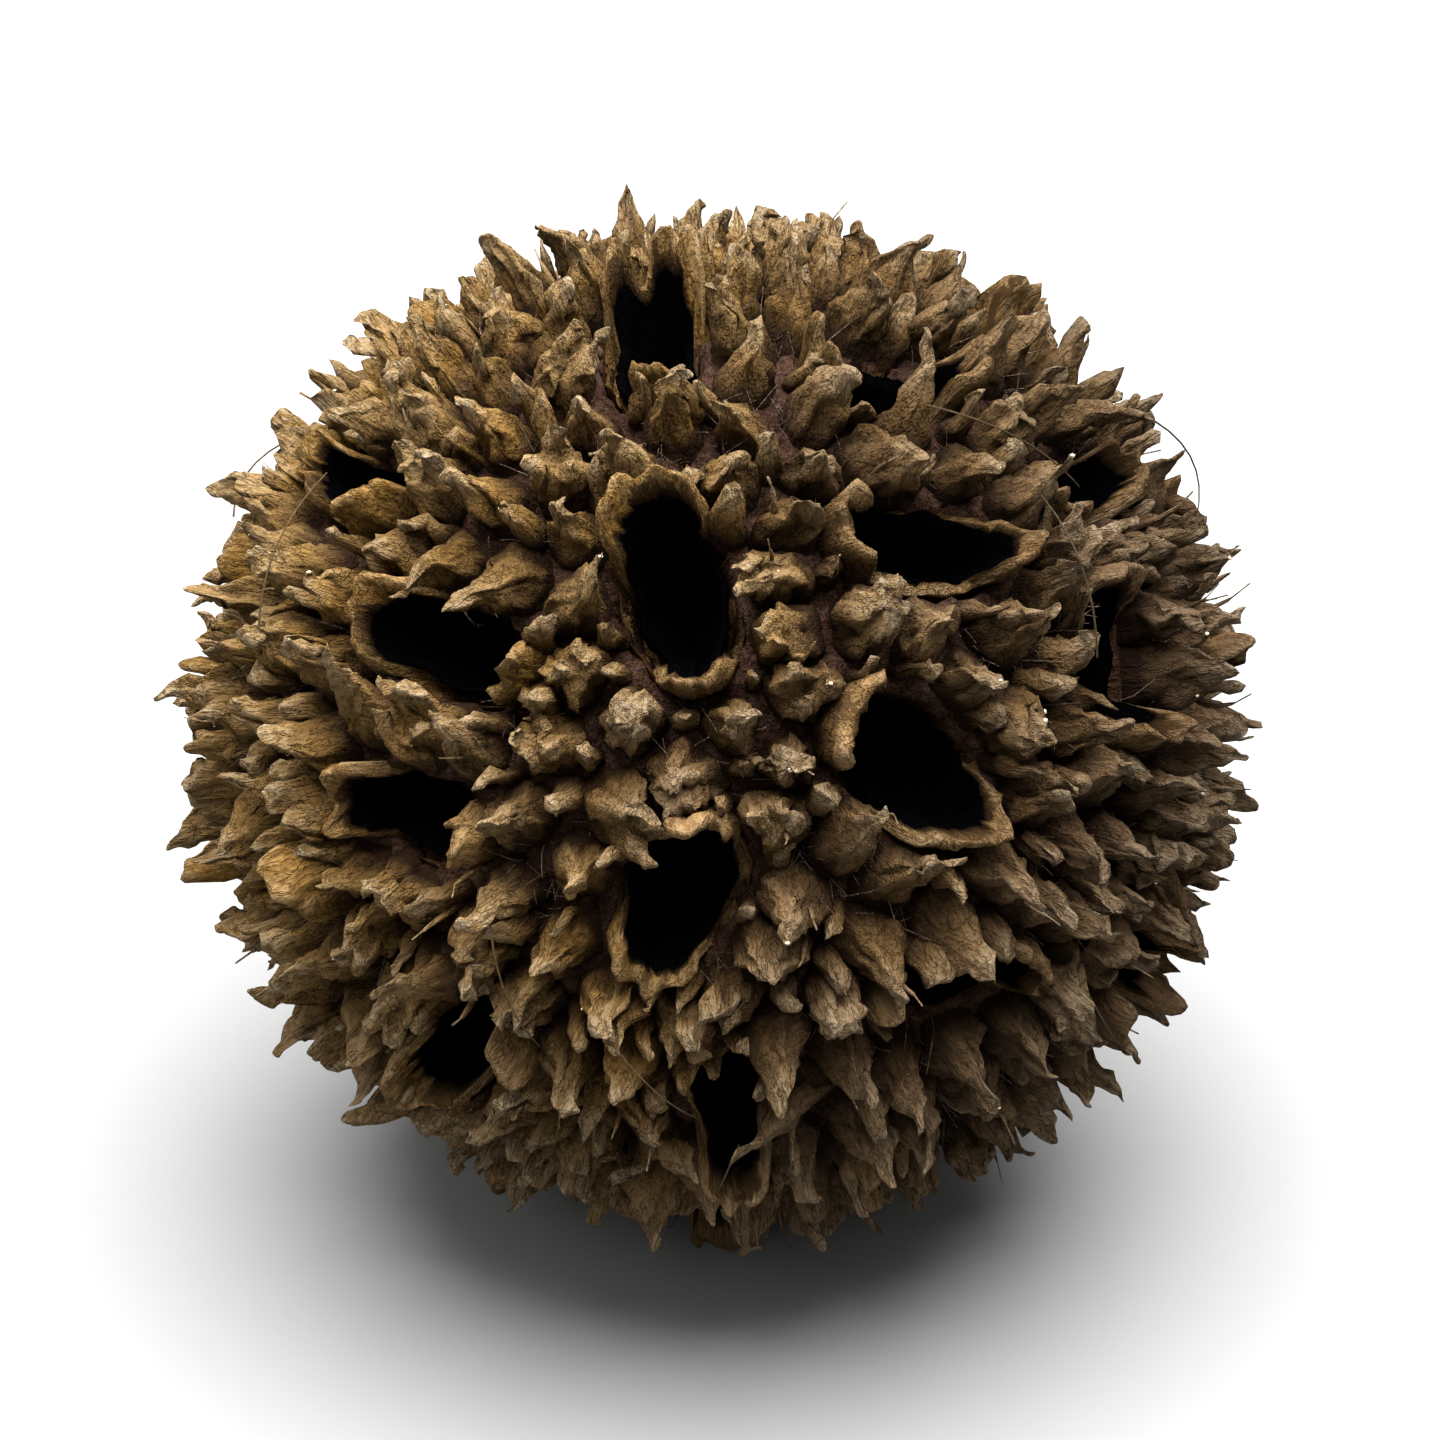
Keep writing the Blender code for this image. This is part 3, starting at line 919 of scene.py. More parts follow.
def makeCore():
    draw = np.random.default_rng(coreLook["seed"])
    deselectAll()
    bpy.ops.mesh.primitive_ico_sphere_add(subdivisions=coreLook["subdivisions"], radius=1)
    core = bpy.context.active_object
    core.name = core.data.name = "felted_core"
    directions = unit(pointsOf(core.data))
    inside = np.zeros(len(directions))
    grown = layout["lipThickness"] * coreLook["pitGrowth"]
    for mouth in mouths:
        direction, along, across = (np.array(v) for v in (mouth.direction, mouth.along, mouth.across))
        facing = directions @ direction
        flat = directions / np.maximum(facing, 0.2)[:, None] - direction
        oval = np.hypot(
            flat @ along * ball["meanRadius"] / (mouth.length / 2 + grown),
            flat @ across * ball["meanRadius"] / (mouth.width / 2 + grown),
        )
        inMouth = np.where(facing > 0.5, 1 - smoothStep(*coreLook["pitRim"], oval), 0)
        inside = np.maximum(inside, inMouth)
    base = np.array([surface(direction, ball["grooveShare"]) for direction in directions])
    waves = coreLook["feltWaves"]
    coarse, fine = (ripples(base, draw, length, waves)[:, :1] for length in coreLook["feltLengths"])
    felt = coarse + coreLook["fineShare"] * fine
    share = 1 - (1 - coreLook["pitShare"] / ball["grooveShare"]) * inside[:, None]
    points = base * share + directions * coreLook["felt"] * felt
    points[:, 2] = np.maximum(points[:, 2], -lift[2])
    setPoints(core.data, points + lift)
    addMasks(core.data)
    proud = np.clip(0.5 + 0.4 * felt[:, 0], 0, 1)
    # the tip mask is low in the sunk pits, where the felt finish paints shade
    setMasks(core.data, base / mm, (1 - inside) * 0.2, 0.5, proud)
    shadeSmooth(core)
    return core


core = makeCore()
print("core:", triangles(core), "triangles")


# Stalk: the broken stub at the back
stalkLook = {
    "seed": 12,
    "radius": 0.95 * mm,
    "past": 1.0 * mm,
    "sides": 20,
    "collar": 1.35,
    "sunk": 0.02,
    # rings upward: rise, then size against the ring below
    "rings": ((0.25, 0.9), (0.25, 0.85), (0.3, 0.97), (0.4, 1.0), (0.3, 0.98), (0.06, 0.8)),
    "pithRing": 0.2,
    "pithDrops": (-0.12, 0.08),
    "fibre": 0.07,
    "brokenFrom": 0.93,
    "lumps": (0.9 * mm, 0.05 * mm),
    "grainStretch": (1, 1, 0.15),
}


def makeStalk():
    draw = np.random.default_rng(stalkLook["seed"])
    deselectAll()
    sides = stalkLook["sides"]
    bpy.ops.mesh.primitive_cylinder_add(vertices=sides, radius=1, depth=0.2, location=(0, 0, 0))
    stub = startPiece("stalk_stub")
    selectAbove(stub, 0.09)
    for rise, size in stalkLook["rings"]:
        growRing(stub, rise, size)
    for drop in stalkLook["pithDrops"]:
        bpy.ops.mesh.inset(thickness=stalkLook["pithRing"])
        bpy.ops.transform.translate(value=(0, 0, drop))
    bpy.ops.object.mode_set(mode="OBJECT")
    smoothPiece(stub, 2)
    points = pointsOf(stub.data)
    turn = np.arctan2(points[:, 1], points[:, 0])
    up = points[:, 2] / points[:, 2].max()
    heading = ball["stalkDirection"]
    side = heading.orthogonal().normalized()
    other = heading.cross(side)
    base = np.array(surface(heading, ball["grooveShare"] - stalkLook["sunk"]))
    end = np.array(surface(heading, 1) + heading * stalkLook["past"])
    tall = np.linalg.norm(end - base)
    fibres = np.sin(turn * 7 + 1.2 * np.sin(up * 4)) * 0.6 + np.sin(turn * 13 + up * 3) * 0.4
    spread = stalkLook["radius"] * stalkLook["collar"] * (1 + stalkLook["fibre"] * fibres)
    jagged = 0.06 * np.sin(turn * 3 + 1) + 0.04 * np.sin(turn * 8)
    broken = np.where(up > stalkLook["brokenFrom"], jagged, 0)
    tallHere = np.clip(up + broken, None, 1) * tall
    local = np.stack([points[:, 0] * spread, points[:, 1] * spread, tallHere], axis=1)
    wavelength, size = stalkLook["lumps"]
    local += ripples(local, draw, wavelength) * size
    setPoints(stub.data, base + local @ np.stack([side, other, heading]) + lift)
    addMasks(stub.data)
    grain = local / mm * stalkLook["grainStretch"]
    setMasks(stub.data, grain, np.clip(up, 0, 0.8), 0.4, np.clip(0.5 + 0.4 * fibres, 0, 1))
    shadeSmooth(stub)
    return stub


stalk = makeStalk()


# Spines: thin needles between the scales
spineLook = {
    "seed": 44,
    "count": 110,
    "sides": 6,
    # rings upward: rise, then size against the ring below
    "rings": ((0.25, 0.85), (0.25, 0.85), (0.25, 0.8), (0.2, 0.65), (0.05, 0.45)),
    "radius": 0.14 * mm,
    "radiusShares": (0.7, 1.3),
    "heights": (0.75, 1.14),
    "bend": 0.5 * mm,
    "bendShares": (0, 1.4),
    "aside": 0.045,
    "waver": 0.06,
}


def spineMaster():
    deselectAll()
    sides = spineLook["sides"]
    bpy.ops.mesh.primitive_cylinder_add(vertices=sides, radius=1, depth=0.2, location=(0, 0, -0.1))
    spine = startPiece("shape_spine")
    selectAbove(spine, -0.01)  # all but its foot
    for rise, size in spineLook["rings"]:
        growRing(spine, rise, size)
    bpy.ops.object.mode_set(mode="OBJECT")
    bpy.ops.object.transform_apply(location=True, rotation=True, scale=True)
    addMasks(spine.data)
    return spine


def growSpine(master, name, heading, radius, bend, tall, draw):
    points = pointsOf(master.data)
    up = points[:, 2]
    heading = Vector(heading).normalized()
    side = heading.orthogonal().normalized()
    other = heading.cross(side)
    turn = draw.uniform(0, math.tau)
    away = bend * np.clip(up, 0, 1) ** 2
    flatX = points[:, 0] * radius + away * math.cos(turn)
    flatY = points[:, 1] * radius + away * math.sin(turn)
    local = np.stack([flatX, flatY, up * tall], axis=1)
    waver = ripples(local, draw, tall)[:, :2] * spineLook["waver"] * tall
    local[:, :2] += waver * np.clip(up, 0, 1)[:, None]
    base = np.array(surface(heading, ball["grooveShare"]))
    copy = copyOf(master, name)
    setPoints(copy.data, onFloor(base + local @ np.array([side, other, heading]) + lift))
    grain = grainOf(local, draw)
    setMasks(copy.data, grain, np.clip(up, 0.25, 1), draw.uniform(0, 1), 0.6)
    return copy


def makeSpines():
    draw = np.random.default_rng(spineLook["seed"])
    master = spineMaster()
    full = (1 - ball["grooveShare"]) * ball["meanRadius"]
    spines = []
    for number in range(spineLook["count"]):
        near = scales[draw.integers(1, len(scales))]
        heading = near + draw.normal(0, spineLook["aside"], 3)
        tall = full * draw.uniform(*spineLook["heights"])
        radius = spineLook["radius"] * draw.uniform(*spineLook["radiusShares"])
        bend = spineLook["bend"] * draw.uniform(*spineLook["bendShares"])
        spines.append(growSpine(master, f"spine_{number}", heading, radius, bend, tall, draw))
    removePiece(master)
    return joinPieces(spines, "thin_spines")


# Tufts: matted fuzz in the grooves
tuftLook = {
    "shapeSeed": 50,
    "seed": 51,
    "count": 420,
    "hairs": 7,
    "rings": ((0.5, 0.85), (0.5, 0.5)),  # upward: rise, then size against the ring below
    "radius": 0.026 * mm,
    "length": 0.95 * mm,
    "lengthShares": (0.5, 1.2),
    "fallShares": (0.3, 1.0),
    "spread": 0.6 * mm,
    "besideScale": 1.15 * mm,
    "sizes": (0.7, 1.4),
    "aboveCore": 0.004,
}


def tuftMaster():  # a few hairs that rise from one spot and fall apart
    draw = np.random.default_rng(tuftLook["shapeSeed"])
    hairs = []
    for number in range(tuftLook["hairs"]):
        deselectAll()
        bpy.ops.mesh.primitive_cylinder_add(vertices=3, radius=1, depth=0.1, location=(0, 0, -0.05))
        hair = startPiece(f"hair_{number}")
        selectAbove(hair, -0.01)  # all but its foot
        for rise, size in tuftLook["rings"]:
            growRing(hair, rise, size)
        bpy.ops.object.mode_set(mode="OBJECT")
        bpy.ops.object.transform_apply(location=True, rotation=True, scale=True)
        points = pointsOf(hair.data)
        up, turn = points[:, 2], draw.uniform(0, math.tau)
        tall = tuftLook["length"] * draw.uniform(*tuftLook["lengthShares"])
        fall = tall * draw.uniform(*tuftLook["fallShares"]) * np.clip(up, 0, 1) ** 1.6
        startX, startY = draw.normal(0, tuftLook["spread"] / 2, 2)
        points[:, 0] = points[:, 0] * tuftLook["radius"] + fall * math.cos(turn) + startX
        points[:, 1] = points[:, 1] * tuftLook["radius"] + fall * math.sin(turn) + startY
        points[:, 2] = up * tall
        setPoints(hair.data, points)
        hairs.append(hair)
    tuft = joinPieces(hairs, "shape_tuft")
    addMasks(tuft.data)
    return tuft


def makeTufts():
    draw = np.random.default_rng(tuftLook["seed"])
    master = tuftMaster()
    shape = pointsOf(master.data)
    beside = tuftLook["besideScale"] / ball["meanRadius"]
    tufts = []
    for number in range(tuftLook["count"]):
        near = scales[draw.integers(1, len(scales))]
        heading = Vector(near + unit(draw.normal(size=3)) * beside).normalized()
        side = heading.orthogonal().normalized()
        other = heading.cross(side)
        spin = draw.uniform(0, math.tau)
        local = shape * draw.uniform(*tuftLook["sizes"])
        turned = local @ np.array(Matrix.Rotation(-spin, 3, "Z"))
        base = np.array(surface(heading, ball["grooveShare"] + tuftLook["aboveCore"]))
        copy = copyOf(master, f"tuft_{number}")
        setPoints(copy.data, onFloor(base + turned @ np.array([side, other, heading]) + lift))
        setMasks(copy.data, turned / mm, 0.45, draw.uniform(0, 1), 0.6)
        tufts.append(copy)
    removePiece(master)
    return joinPieces(tufts, "felt_tufts")


# Stray fibres: long hairs that arch over the tips
hairLook = {
    "seed": 57,
    "count": 15,
    "sides": 5,
    "rings": 9,
    "radius": 0.035 * mm,
    "lengths": (2.5 * mm, 6.5 * mm),
    "start": 0.93,
    "arch": 0.06,
    "archShares": (0.5, 1.3),
    "swing": 0.25,
}


def makeHairs():
    draw = np.random.default_rng(hairLook["seed"])
    deselectAll()
    sides = hairLook["sides"]
    bpy.ops.mesh.primitive_cylinder_add(vertices=sides, radius=1, depth=0.02, location=(0, 0, 0))
    master = startPiece("shape_hair")
    selectAbove(master, 0.009)
    for _ in range(hairLook["rings"]):
        growRing(master, 1 / hairLook["rings"], 0.95)
    bpy.ops.object.mode_set(mode="OBJECT")
    addMasks(master.data)
    shape = pointsOf(master.data)
    up = np.clip(shape[:, 2], 0, 1)
    hairs = []
    for number in range(hairLook["count"]):
        heading = Vector(scales[draw.integers(1, len(scales))]).normalized()
        side = heading.orthogonal().normalized()
        turn = draw.uniform(0, math.tau)
        way = side * math.cos(turn) + heading.cross(side) * math.sin(turn)
        aside = heading.cross(way)
        length = draw.uniform(*hairLook["lengths"]) / ball["meanRadius"]
        arch = hairLook["arch"] * draw.uniform(*hairLook["archShares"])
        swing = draw.normal(0, hairLook["swing"])
        points = []
        for (x, y, _), share in zip(shape, up):
            direction = heading + way * length * share + aside * length * swing * share**2
            direction.normalize()
            out = hairLook["start"] + arch * math.sin(math.pi * (0.15 + 0.8 * share))
            points.append(surface(direction, out) + (direction * x + aside * y) * hairLook["radius"])
        copy = copyOf(master, f"stray_{number}")
        setPoints(copy.data, onFloor(np.array(points) + lift))
        setMasks(copy.data, shape, 0.8, draw.uniform(0, 1), 0.7)
        hairs.append(copy)
    removePiece(master)
    return joinPieces(hairs, "stray_fibres")


# Crumbs: pale specks that stick to the upper halves of all but the lowest scales
crumbLook = {
    "seed": 63,
    "each": 22,
    "above": 0.45,
    "radii": (0.03 * mm, 0.085 * mm),
    "stretch": (0.5, 1.3),
    "rough": (0.75, 1.2),
}


def makeCrumbs():
    draw = np.random.default_rng(crumbLook["seed"])
    deselectAll()
    bpy.ops.mesh.primitive_ico_sphere_add(subdivisions=1, radius=1, location=(0, 0, 0))
    master = bpy.context.active_object
    addMasks(master.data)
    shape = pointsOf(master.data)
    crumbs = []
    for piece in scalePieces[:3]:
        spots = pointsOf(piece.data)
        tips = np.empty(len(spots), np.float32)
        piece.data.attributes["tip"].data.foreach_get("value", tips)
        spots = spots[tips > crumbLook["above"]]
        for number in range(crumbLook["each"]):
            spot = spots[draw.integers(0, len(spots))]
            size = draw.uniform(*crumbLook["radii"]) * draw.uniform(*crumbLook["stretch"], 3)
            copy = copyOf(master, f"crumb_{piece.name}_{number}")
            rough = draw.uniform(*crumbLook["rough"], (len(shape), 1))
            setPoints(copy.data, onFloor(spot + shape * size * rough))
            setMasks(copy.data, shape, 0.9, draw.uniform(0, 1), 0.5)
            crumbs.append(copy)
    removePiece(master)
    return joinPieces(crumbs, "pale_crumbs")


spinePiece = makeSpines()
tuftPiece = makeTufts()
crumbPiece = makeCrumbs()
hairPiece = makeHairs()
print("spines, tufts and fibres:", *[triangles(piece) for piece in (spinePiece, tuftPiece, hairPiece)])


# Finishes
def addNode(tree, kind, links=(), **settings):
    node = tree.nodes.new(kind)
    for name, value in settings.items():
        setattr(node, name, value)
    for socket, source in dict(links).items():
        if isinstance(source, bpy.types.NodeSocket):
            tree.links.new(source, node.inputs[socket])
        else:
            node.inputs[socket].default_value = source
    return node


def mathNode(tree, operation, first, second=0.0, third=0.0):
    links = {0: first, 1: second, 2: third}
    return addNode(tree, "ShaderNodeMath", links, operation=operation).outputs[0]


def noiseNode(tree, vector, look, **settings):  # look: scale, detail, roughness
    scale, detail, roughness = look
    links = {"Vector": vector, "Scale": scale, "Detail": detail, "Roughness": roughness}
    return addNode(tree, "ShaderNodeTexNoise", links, **settings).outputs[0]


def mixColours(tree, share, first, second, blend="MIX"):
    node = tree.nodes.new("ShaderNodeMix")
    node.data_type = "RGBA"
    node.blend_type = blend
    for number, source in ((0, share), (6, first), (7, second)):
        if isinstance(source, bpy.types.NodeSocket):
            tree.links.new(source, node.inputs[number])
        else:
            node.inputs[number].default_value = source
    return node.outputs[2]


def remap(tree, value, low, high, newLow=0.0, newHigh=1.0):
    links = {"Value": value, "From Min": low, "From Max": high, "To Min": newLow, "To Max": newHigh}
    return addNode(tree, "ShaderNodeMapRange", links).outputs[0]


woodColours = {
    # painted shade towards the grooves, and the darkest fibres of the felt
    "groove": (0.0155, 0.0072, 0.0030, 1),
    "shade": (0.065, 0.0325, 0.0065, 1),
    "plain": (0.208, 0.114, 0.027, 1),
    # pale tips, partly painted highlight
    "lip": (0.190, 0.103, 0.026, 1),
    "tip": (0.240, 0.194, 0.130, 1),
    "grey": (0.148, 0.110, 0.069, 1),
    "umber": (0.118, 0.077, 0.047, 1),
    "felt": (0.060, 0.033, 0.024, 1),
    "fuzz": (0.20, 0.138, 0.108, 1),
    # painted shade deep inside the pits
    "pit": (0.001, 0.0009, 0.0012, 1),
    "crumb": (0.42, 0.36, 0.26, 1),
    "innerWall": (0.050, 0.029, 0.012, 1),
    "toneTint": (0.45, 0.42, 0.38, 1),
    # painted shade of the +X side
    "sideShadeTint": (0.52, 0.51, 0.52, 1),
}

grainLook = {
    # scale, detail and roughness of each noise
    "coarse": (3.6, 5.0, 0.62),
    "fine": (11.0, 3.0, 0.6),
    "split": (2.3, 3.0, 0.7),
    "crumple": (2.9, 2.0, 0.5),
    "grit": (5200.0, 4.0, 0.65),
    "mottle": (420.0, 4.0, 0.55),
    "coarseShare": 0.55,
    "fineShare": 0.45,
    "crackWidth": 0.035,
    # how much of each goes into the height
    "proudHeight": 0.35,
    "fibreHeight": 0.7,
    "gritHeight": 0.34,
    "crackHeight": -0.45,
    "foldHeight": 0.55,
}


def newGroup(name, taken, given):  # taken and given: each socket's name and kind
    group = bpy.data.node_groups.new(name, "ShaderNodeTree")
    for direction, sockets in (("INPUT", taken), ("OUTPUT", given)):
        for socket, kind in sockets.items():
            group.interface.new_socket(socket, in_out=direction, socket_type="NodeSocket" + kind)
    start = group.nodes.new("NodeGroupInput")
    end = group.nodes.new("NodeGroupOutput")
    return group, start.outputs, end.inputs


def grainGroup():  # fibres that run along a scale, with mottling and grit over them
    taken = {"Grain": "Vector", "Proud": "Float", "Strength": "Float"}
    given = {"Fibres": "Float", "Cracks": "Float", "Mottle": "Float", "Height": "Float"}
    group, start, end = newGroup("woodFibres", taken, given)
    look = grainLook
    place = group.nodes.new("ShaderNodeTexCoord").outputs["Object"]
    coarse = noiseNode(group, start["Grain"], look["coarse"])
    fine = noiseNode(group, start["Grain"], look["fine"])
    split = noiseNode(group, start["Grain"], look["split"])
    crumple = noiseNode(group, start["Grain"], look["crumple"], noise_type="RIDGED_MULTIFRACTAL")
    grit = noiseNode(group, place, look["grit"])
    mottle = noiseNode(group, place, look["mottle"])

    def added(value, share, base):
        return mathNode(group, "MULTIPLY_ADD", value, share, base)

    offMiddle = mathNode(group, "ABSOLUTE", mathNode(group, "SUBTRACT", split, 0.5))
    cracks = remap(group, offMiddle, look["crackWidth"], 0.0)
    lines = added(coarse, look["coarseShare"], mathNode(group, "MULTIPLY", fine, look["fineShare"]))
    fibres = remap(group, lines, 0.38, 0.62)
    striped = mathNode(group, "MULTIPLY", fibres, look["fibreHeight"])
    withProud = added(start["Proud"], look["proudHeight"], striped)
    gritty = added(remap(group, grit, 0.35, 0.65), look["gritHeight"], withProud)
    cracked = added(cracks, look["crackHeight"], gritty)
    folded = added(remap(group, crumple, 0.3, 1.6), look["foldHeight"], cracked)
    group.links.new(remap(group, gritty, 0.3, 1.15), end["Fibres"])
    group.links.new(cracks, end["Cracks"])
    group.links.new(remap(group, mottle, 0.35, 0.65), end["Mottle"])
    group.links.new(mathNode(group, "MULTIPLY", folded, start["Strength"]), end["Height"])
    return group


sideShadeLook = {
    "strength": 1.0,
    "from": 0.0,  # places across the ball in metres, between which the painted shade gets to its darkest
    "to": 0.014,
    "patches": (260.0, 2.0, 0.5),
    "wander": 0.004,
}


def shadedSideGroup():  # painted shade: the colour gets darker towards +X, as the photo shows the ball
    taken, given = {"Colour": "Color", "Strength": "Float"}, {"Colour": "Color"}
    group, start, end = newGroup("shadedSide", taken, given)
    place = group.nodes.new("ShaderNodeTexCoord").outputs["Object"]
    across = addNode(group, "ShaderNodeSeparateXYZ", {0: place}).outputs["X"]
    patches = noiseNode(group, place, sideShadeLook["patches"])
    wander = remap(group, patches, 0.3, 0.7, -sideShadeLook["wander"], sideShadeLook["wander"])
    wandering = mathNode(group, "ADD", across, wander)
    shaded = remap(group, wandering, sideShadeLook["from"], sideShadeLook["to"])
    share = mathNode(group, "MULTIPLY", shaded, start["Strength"])
    darker = mixColours(group, share, start["Colour"], woodColours["sideShadeTint"], "MULTIPLY")
    group.links.new(darker, end["Colour"])
    return group


fibresGroup = grainGroup()
sideShadeNodes = shadedSideGroup()


def startFinish(name):
    finish = bpy.data.materials.new(name)
    finish.use_nodes = True
    tree = finish.node_tree
    shader = tree.nodes["Principled BSDF"]
    masks = {}
    for mask, output in (("grain", "Vector"), ("tip", "Fac"), ("tone", "Fac"), ("proud", "Fac")):
        masks[mask] = addNode(tree, "ShaderNodeAttribute", attribute_name=mask).outputs[output]
    fibres = tree.nodes.new("ShaderNodeGroup")
    fibres.node_tree = fibresGroup
    tree.links.new(masks["grain"], fibres.inputs["Grain"])
    tree.links.new(masks["proud"], fibres.inputs["Proud"])
    fibres.inputs["Strength"].default_value = 1.0
    shader.inputs["Specular IOR Level"].default_value = 0.04
    return finish, tree, shader, masks, fibres


# paints the shade of the +X side over a colour
def shadeSide(tree, colour):
    side = tree.nodes.new("ShaderNodeGroup")
    side.node_tree = sideShadeNodes
    side.inputs["Strength"].default_value = sideShadeLook["strength"]
    tree.links.new(colour, side.inputs["Colour"])
    return side.outputs["Colour"]


def bumpFrom(tree, shader, height, distance):
    bump = addNode(tree, "ShaderNodeBump", {"Height": height, "Distance": distance, "Strength": 1.0})
    tree.links.new(bump.outputs[0], shader.inputs["Normal"])


umberAndShadeLook = {
    "patches": (190.0, 2.0, 0.5),
    # places in metres, then how much more umber, as painted shade, there is at them
    "across": (-0.012, 0.016, -0.25, 0.36),
    "up": (0.0, 0.03, 0.30, -0.12),
    "range": (0.35, 0.85),
}


def umberAndShadeShare(tree):  # patches of duller wood, and painted shade that brings more of them low down and on the +X side
    place = tree.nodes.new("ShaderNodeTexCoord").outputs["Object"]
    patches = noiseNode(tree, place, umberAndShadeLook["patches"])
    parts = addNode(tree, "ShaderNodeSeparateXYZ", {0: place})
    acrossBall = remap(tree, parts.outputs["X"], *umberAndShadeLook["across"])
    upBall = remap(tree, parts.outputs["Z"], *umberAndShadeLook["up"])
    patched = mathNode(tree, "ADD", patches, mathNode(tree, "ADD", acrossBall, upBall))
    return remap(tree, patched, *umberAndShadeLook["range"])


# A range holds what a mask runs from and to, then its new ends where they aren't 0 and 1
woodLook = {
    "plain": woodColours["plain"],
    "body": (0, 1, 0.35, 0.95),
    "grey": 0.32,
    "umber": 0.72,
    "tip": (0.5, 1.05),
    "tipFibres": (0.2, 0.9, 0.1, 1.0),
    "crack": 0.7,
    "groove": (0.70, 0.12),
    "grooveCurve": 1.25,
    "tone": (0, 1, 0, 0.38),
    "roughness": (0, 1, 0.92, 0.74),
    "bump": 0.15 * mm,
}
lipLook = {
    "plain": woodColours["lip"],
    "body": (0, 1, 0, 1),
    "grey": 0.25,
    "umber": 0.6,
    "tip": (0.7, 1.05),
    "tipFibres": (0.3, 0.9, 0.0, 0.4),
    "crack": 0.7,
    "groove": (0.6, 0.0),
    "grooveCurve": 1.0,
    "innerWall": (0.45, 1.0),
    "inner": (0.0, -0.6),
    "roughness": 0.82,
    "bump": 0.15 * mm,
}


# Fibres from dark to light, then grey and umber patches (the umber also painted shade low down and towards
# +X), a pale tip that is partly painted highlight, cracks and painted shade down in the groove
def weatheredAndShaded(tree, masks, fibres, look):
    colours = woodColours
    stripes = fibres.outputs["Fibres"]
    colour = mixColours(tree, remap(tree, stripes, *look["body"]), colours["shade"], look["plain"])
    grey = mathNode(tree, "MULTIPLY", fibres.outputs["Mottle"], look["grey"])
    colour = mixColours(tree, grey, colour, colours["grey"])
    # umber patches, plus painted shade low down and towards +X
    umber = mathNode(tree, "MULTIPLY", umberAndShadeShare(tree), look["umber"])
    colour = mixColours(tree, umber, colour, colours["umber"])
    # a pale tip, partly painted highlight where the tips catch the light
    toTip = remap(tree, masks["tip"], *look["tip"])
    tip = mathNode(tree, "MULTIPLY", toTip, remap(tree, stripes, *look["tipFibres"]))
    colour = mixColours(tree, tip, colour, colours["tip"])
    crack = mathNode(tree, "MULTIPLY", fibres.outputs["Cracks"], look["crack"])
    colour = mixColours(tree, crack, colour, colours["shade"])
    # painted shade, darker down towards the groove between the scales
    toGrooveShade = remap(tree, masks["tip"], *look["groove"])
    groove = mathNode(tree, "POWER", toGrooveShade, look["grooveCurve"])
    return mixColours(tree, groove, colour, colours["groove"])


def woodFinish():
    finish, tree, shader, masks, fibres = startFinish("weathered_shaded_wood_scales")
    look = woodLook
    grown = weatheredAndShaded(tree, masks, fibres, look)
    tone = remap(tree, masks["tone"], *look["tone"])
    toned = mixColours(tree, tone, grown, woodColours["toneTint"], "MULTIPLY")
    tree.links.new(shadeSide(tree, toned), shader.inputs["Base Color"])
    roughness = remap(tree, fibres.outputs["Fibres"], *look["roughness"])
    tree.links.new(roughness, shader.inputs["Roughness"])
    bumpFrom(tree, shader, fibres.outputs["Height"], look["bump"])
    return finish


def mouthFinish():
    finish, tree, shader, masks, fibres = startFinish("weathered_shaded_wood_lips")
    look = lipLook
    shader.inputs["Specular IOR Level"].default_value = 0.0
    grown = weatheredAndShaded(tree, masks, fibres, look)
    # painted shade: the inner wall goes from near black deep in the pit to its own dark colour near the
    # lip
    toLight = remap(tree, masks["tip"], *look["innerWall"])
    inner = mixColours(tree, toLight, woodColours["pit"], woodColours["innerWall"])
    lined = mixColours(tree, remap(tree, masks["tone"], *look["inner"]), grown, inner)
    tree.links.new(shadeSide(tree, lined), shader.inputs["Base Color"])
    shader.inputs["Roughness"].default_value = look["roughness"]
    bumpFrom(tree, shader, fibres.outputs["Height"], look["bump"])
    return finish


feltLook = {"pit": (0.2, 0.05), "roughness": 0.95, "bump": 0.2 * mm}
crumbRoughness = 0.6


def feltFinish(name, lit):
    finish, tree, shader, masks, fibres = startFinish(name)
    shader.inputs["Specular IOR Level"].default_value = 0.0
    felt = mixColours(tree, fibres.outputs["Fibres"], woodColours["groove"], lit)
    # painted shade: the felt goes near black where it is sunk in a mouth
    pitted = mixColours(tree, remap(tree, masks["tip"], *feltLook["pit"]), felt, woodColours["pit"])
    tree.links.new(pitted, shader.inputs["Base Color"])
    shader.inputs["Roughness"].default_value = feltLook["roughness"]
    bumpFrom(tree, shader, fibres.outputs["Height"], feltLook["bump"])
    return finish


def crumbFinish():
    finish = bpy.data.materials.new("pale_crumb")
    finish.use_nodes = True
    shader = finish.node_tree.nodes["Principled BSDF"]
    shader.inputs["Base Color"].default_value = woodColours["crumb"]
    shader.inputs["Roughness"].default_value = crumbRoughness
    return finish


wood = woodFinish()
lips = mouthFinish()
crumb = crumbFinish()
felt = feltFinish("felted_core", woodColours["felt"])
fuzz = feltFinish("loose_fuzz", woodColours["fuzz"])


def dress(piece, finish):
    piece.data.materials.clear()
    piece.data.materials.append(finish)
    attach(piece, "root")
    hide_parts("seed_ball")


for piece in scalePieces:
    dress(piece, wood)
dress(mouthPiece, lips)
dress(core, felt)
dress(stalk, wood)
dress(spinePiece, wood)
dress(hairPiece, wood)
dress(tuftPiece, fuzz)
dress(crumbPiece, crumb)
print("finishes: set")


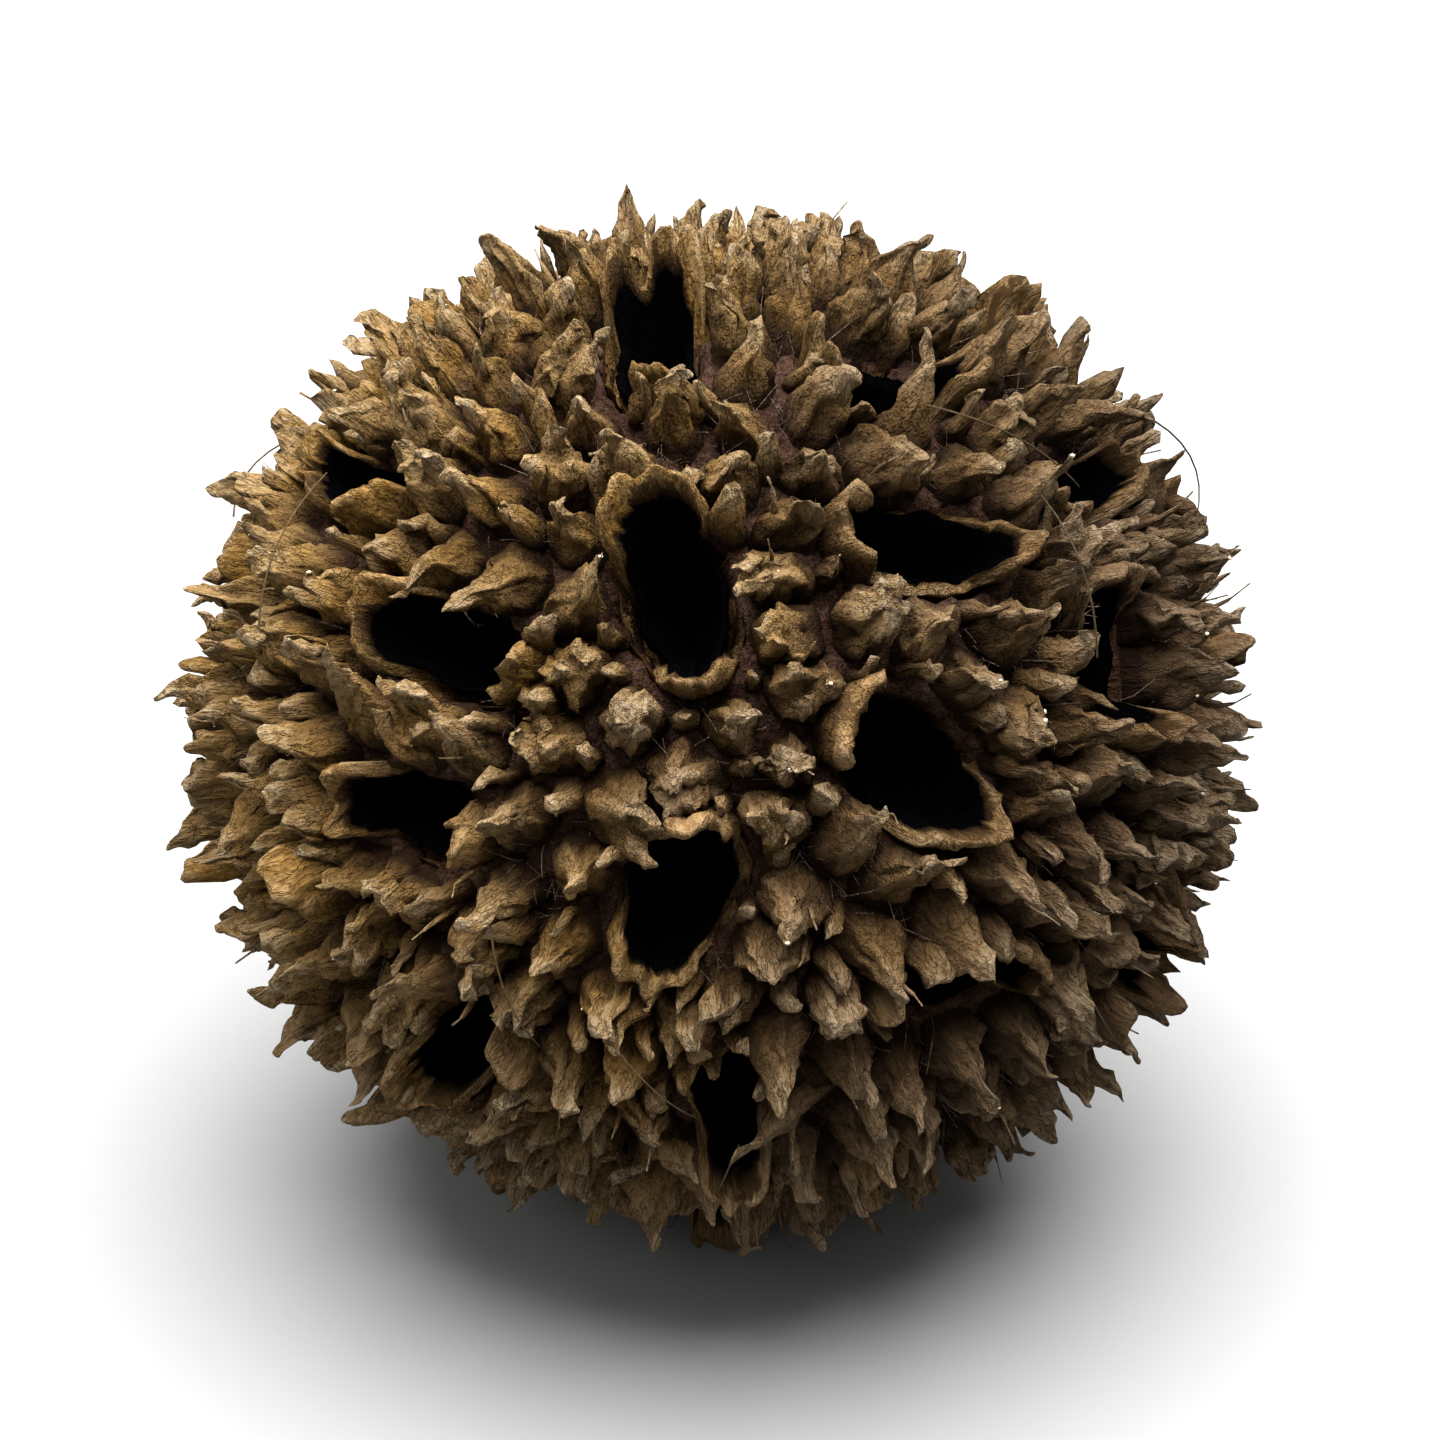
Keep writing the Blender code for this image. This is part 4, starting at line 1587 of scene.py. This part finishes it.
# Floor, light and camera
stageLook = {
    "floorSize": 2.4,
    "floorColour": (0.157, 0.158, 0.1565, 1),
    "floorRoughness": 0.8,
    "worldColour": (0.99, 0.99, 0.98, 1),
    "worldStrength": 0.43,
    "lightsAim": Vector((0, 0, 0.015)),
    "cameraAway": 0.32,
    "across": 41.7 * mm,  # what the picture is wide at the ball
    "sensor": 36,
    "clipStart": 0.01,
}

# Where each light hangs, how wide it is in metres, and its watts
lights = {
    "key_above": ((0.03, 0.08, 0.74), 1.10, 59.0),
    "window_left": ((-0.55, 0.10, 0.40), 0.6, 1.2),
    "fill_front": ((-0.22, -0.40, 0.38), 0.40, 0.6),
}


def makeStage():
    deselectAll()
    bpy.ops.mesh.primitive_plane_add(size=stageLook["floorSize"], location=(0, 0, 0))
    floor = bpy.context.active_object
    floor.name = "studio_floor"
    paper = bpy.data.materials.new("pale_paper")
    paper.use_nodes = True
    shader = paper.node_tree.nodes["Principled BSDF"]
    shader.inputs["Base Color"].default_value = stageLook["floorColour"]
    shader.inputs["Roughness"].default_value = stageLook["floorRoughness"]
    floor.data.materials.append(paper)


def addArea(name, place, size, power):
    light = bpy.data.objects.new(name, bpy.data.lights.new(name, "AREA"))
    light.data.shape = "DISK"
    light.data.size = size
    light.data.energy = power
    light.location = place
    light.rotation_euler = (stageLook["lightsAim"] - Vector(place)).to_track_quat("-Z", "Y").to_euler()
    bpy.context.scene.collection.objects.link(light)


def makeLights():
    for name, (place, size, power) in lights.items():
        addArea(name, place, size, power)
    world = bpy.data.worlds.new("studio")
    world.use_nodes = True
    background = world.node_tree.nodes["Background"]
    background.inputs["Color"].default_value = stageLook["worldColour"]
    background.inputs["Strength"].default_value = stageLook["worldStrength"]
    bpy.context.scene.world = world
    bpy.context.scene.view_settings.view_transform = "Standard"


def makeCamera():
    tilt = layout["viewElevation"]
    middle = Vector(lift)
    camera = bpy.data.objects.new("camera", bpy.data.cameras.new("camera"))
    camera.data.sensor_width = stageLook["sensor"]
    camera.data.lens = stageLook["sensor"] * stageLook["cameraAway"] / stageLook["across"]
    camera.data.clip_start = stageLook["clipStart"]
    towards = Vector((0, -math.cos(tilt), math.sin(tilt)))
    camera.location = middle + towards * stageLook["cameraAway"]
    camera.rotation_euler = (math.pi / 2 - tilt, 0, 0)
    bpy.context.scene.collection.objects.link(camera)
    bpy.context.scene.camera = camera


makeStage()
makeLights()
makeCamera()
print("stage: set")
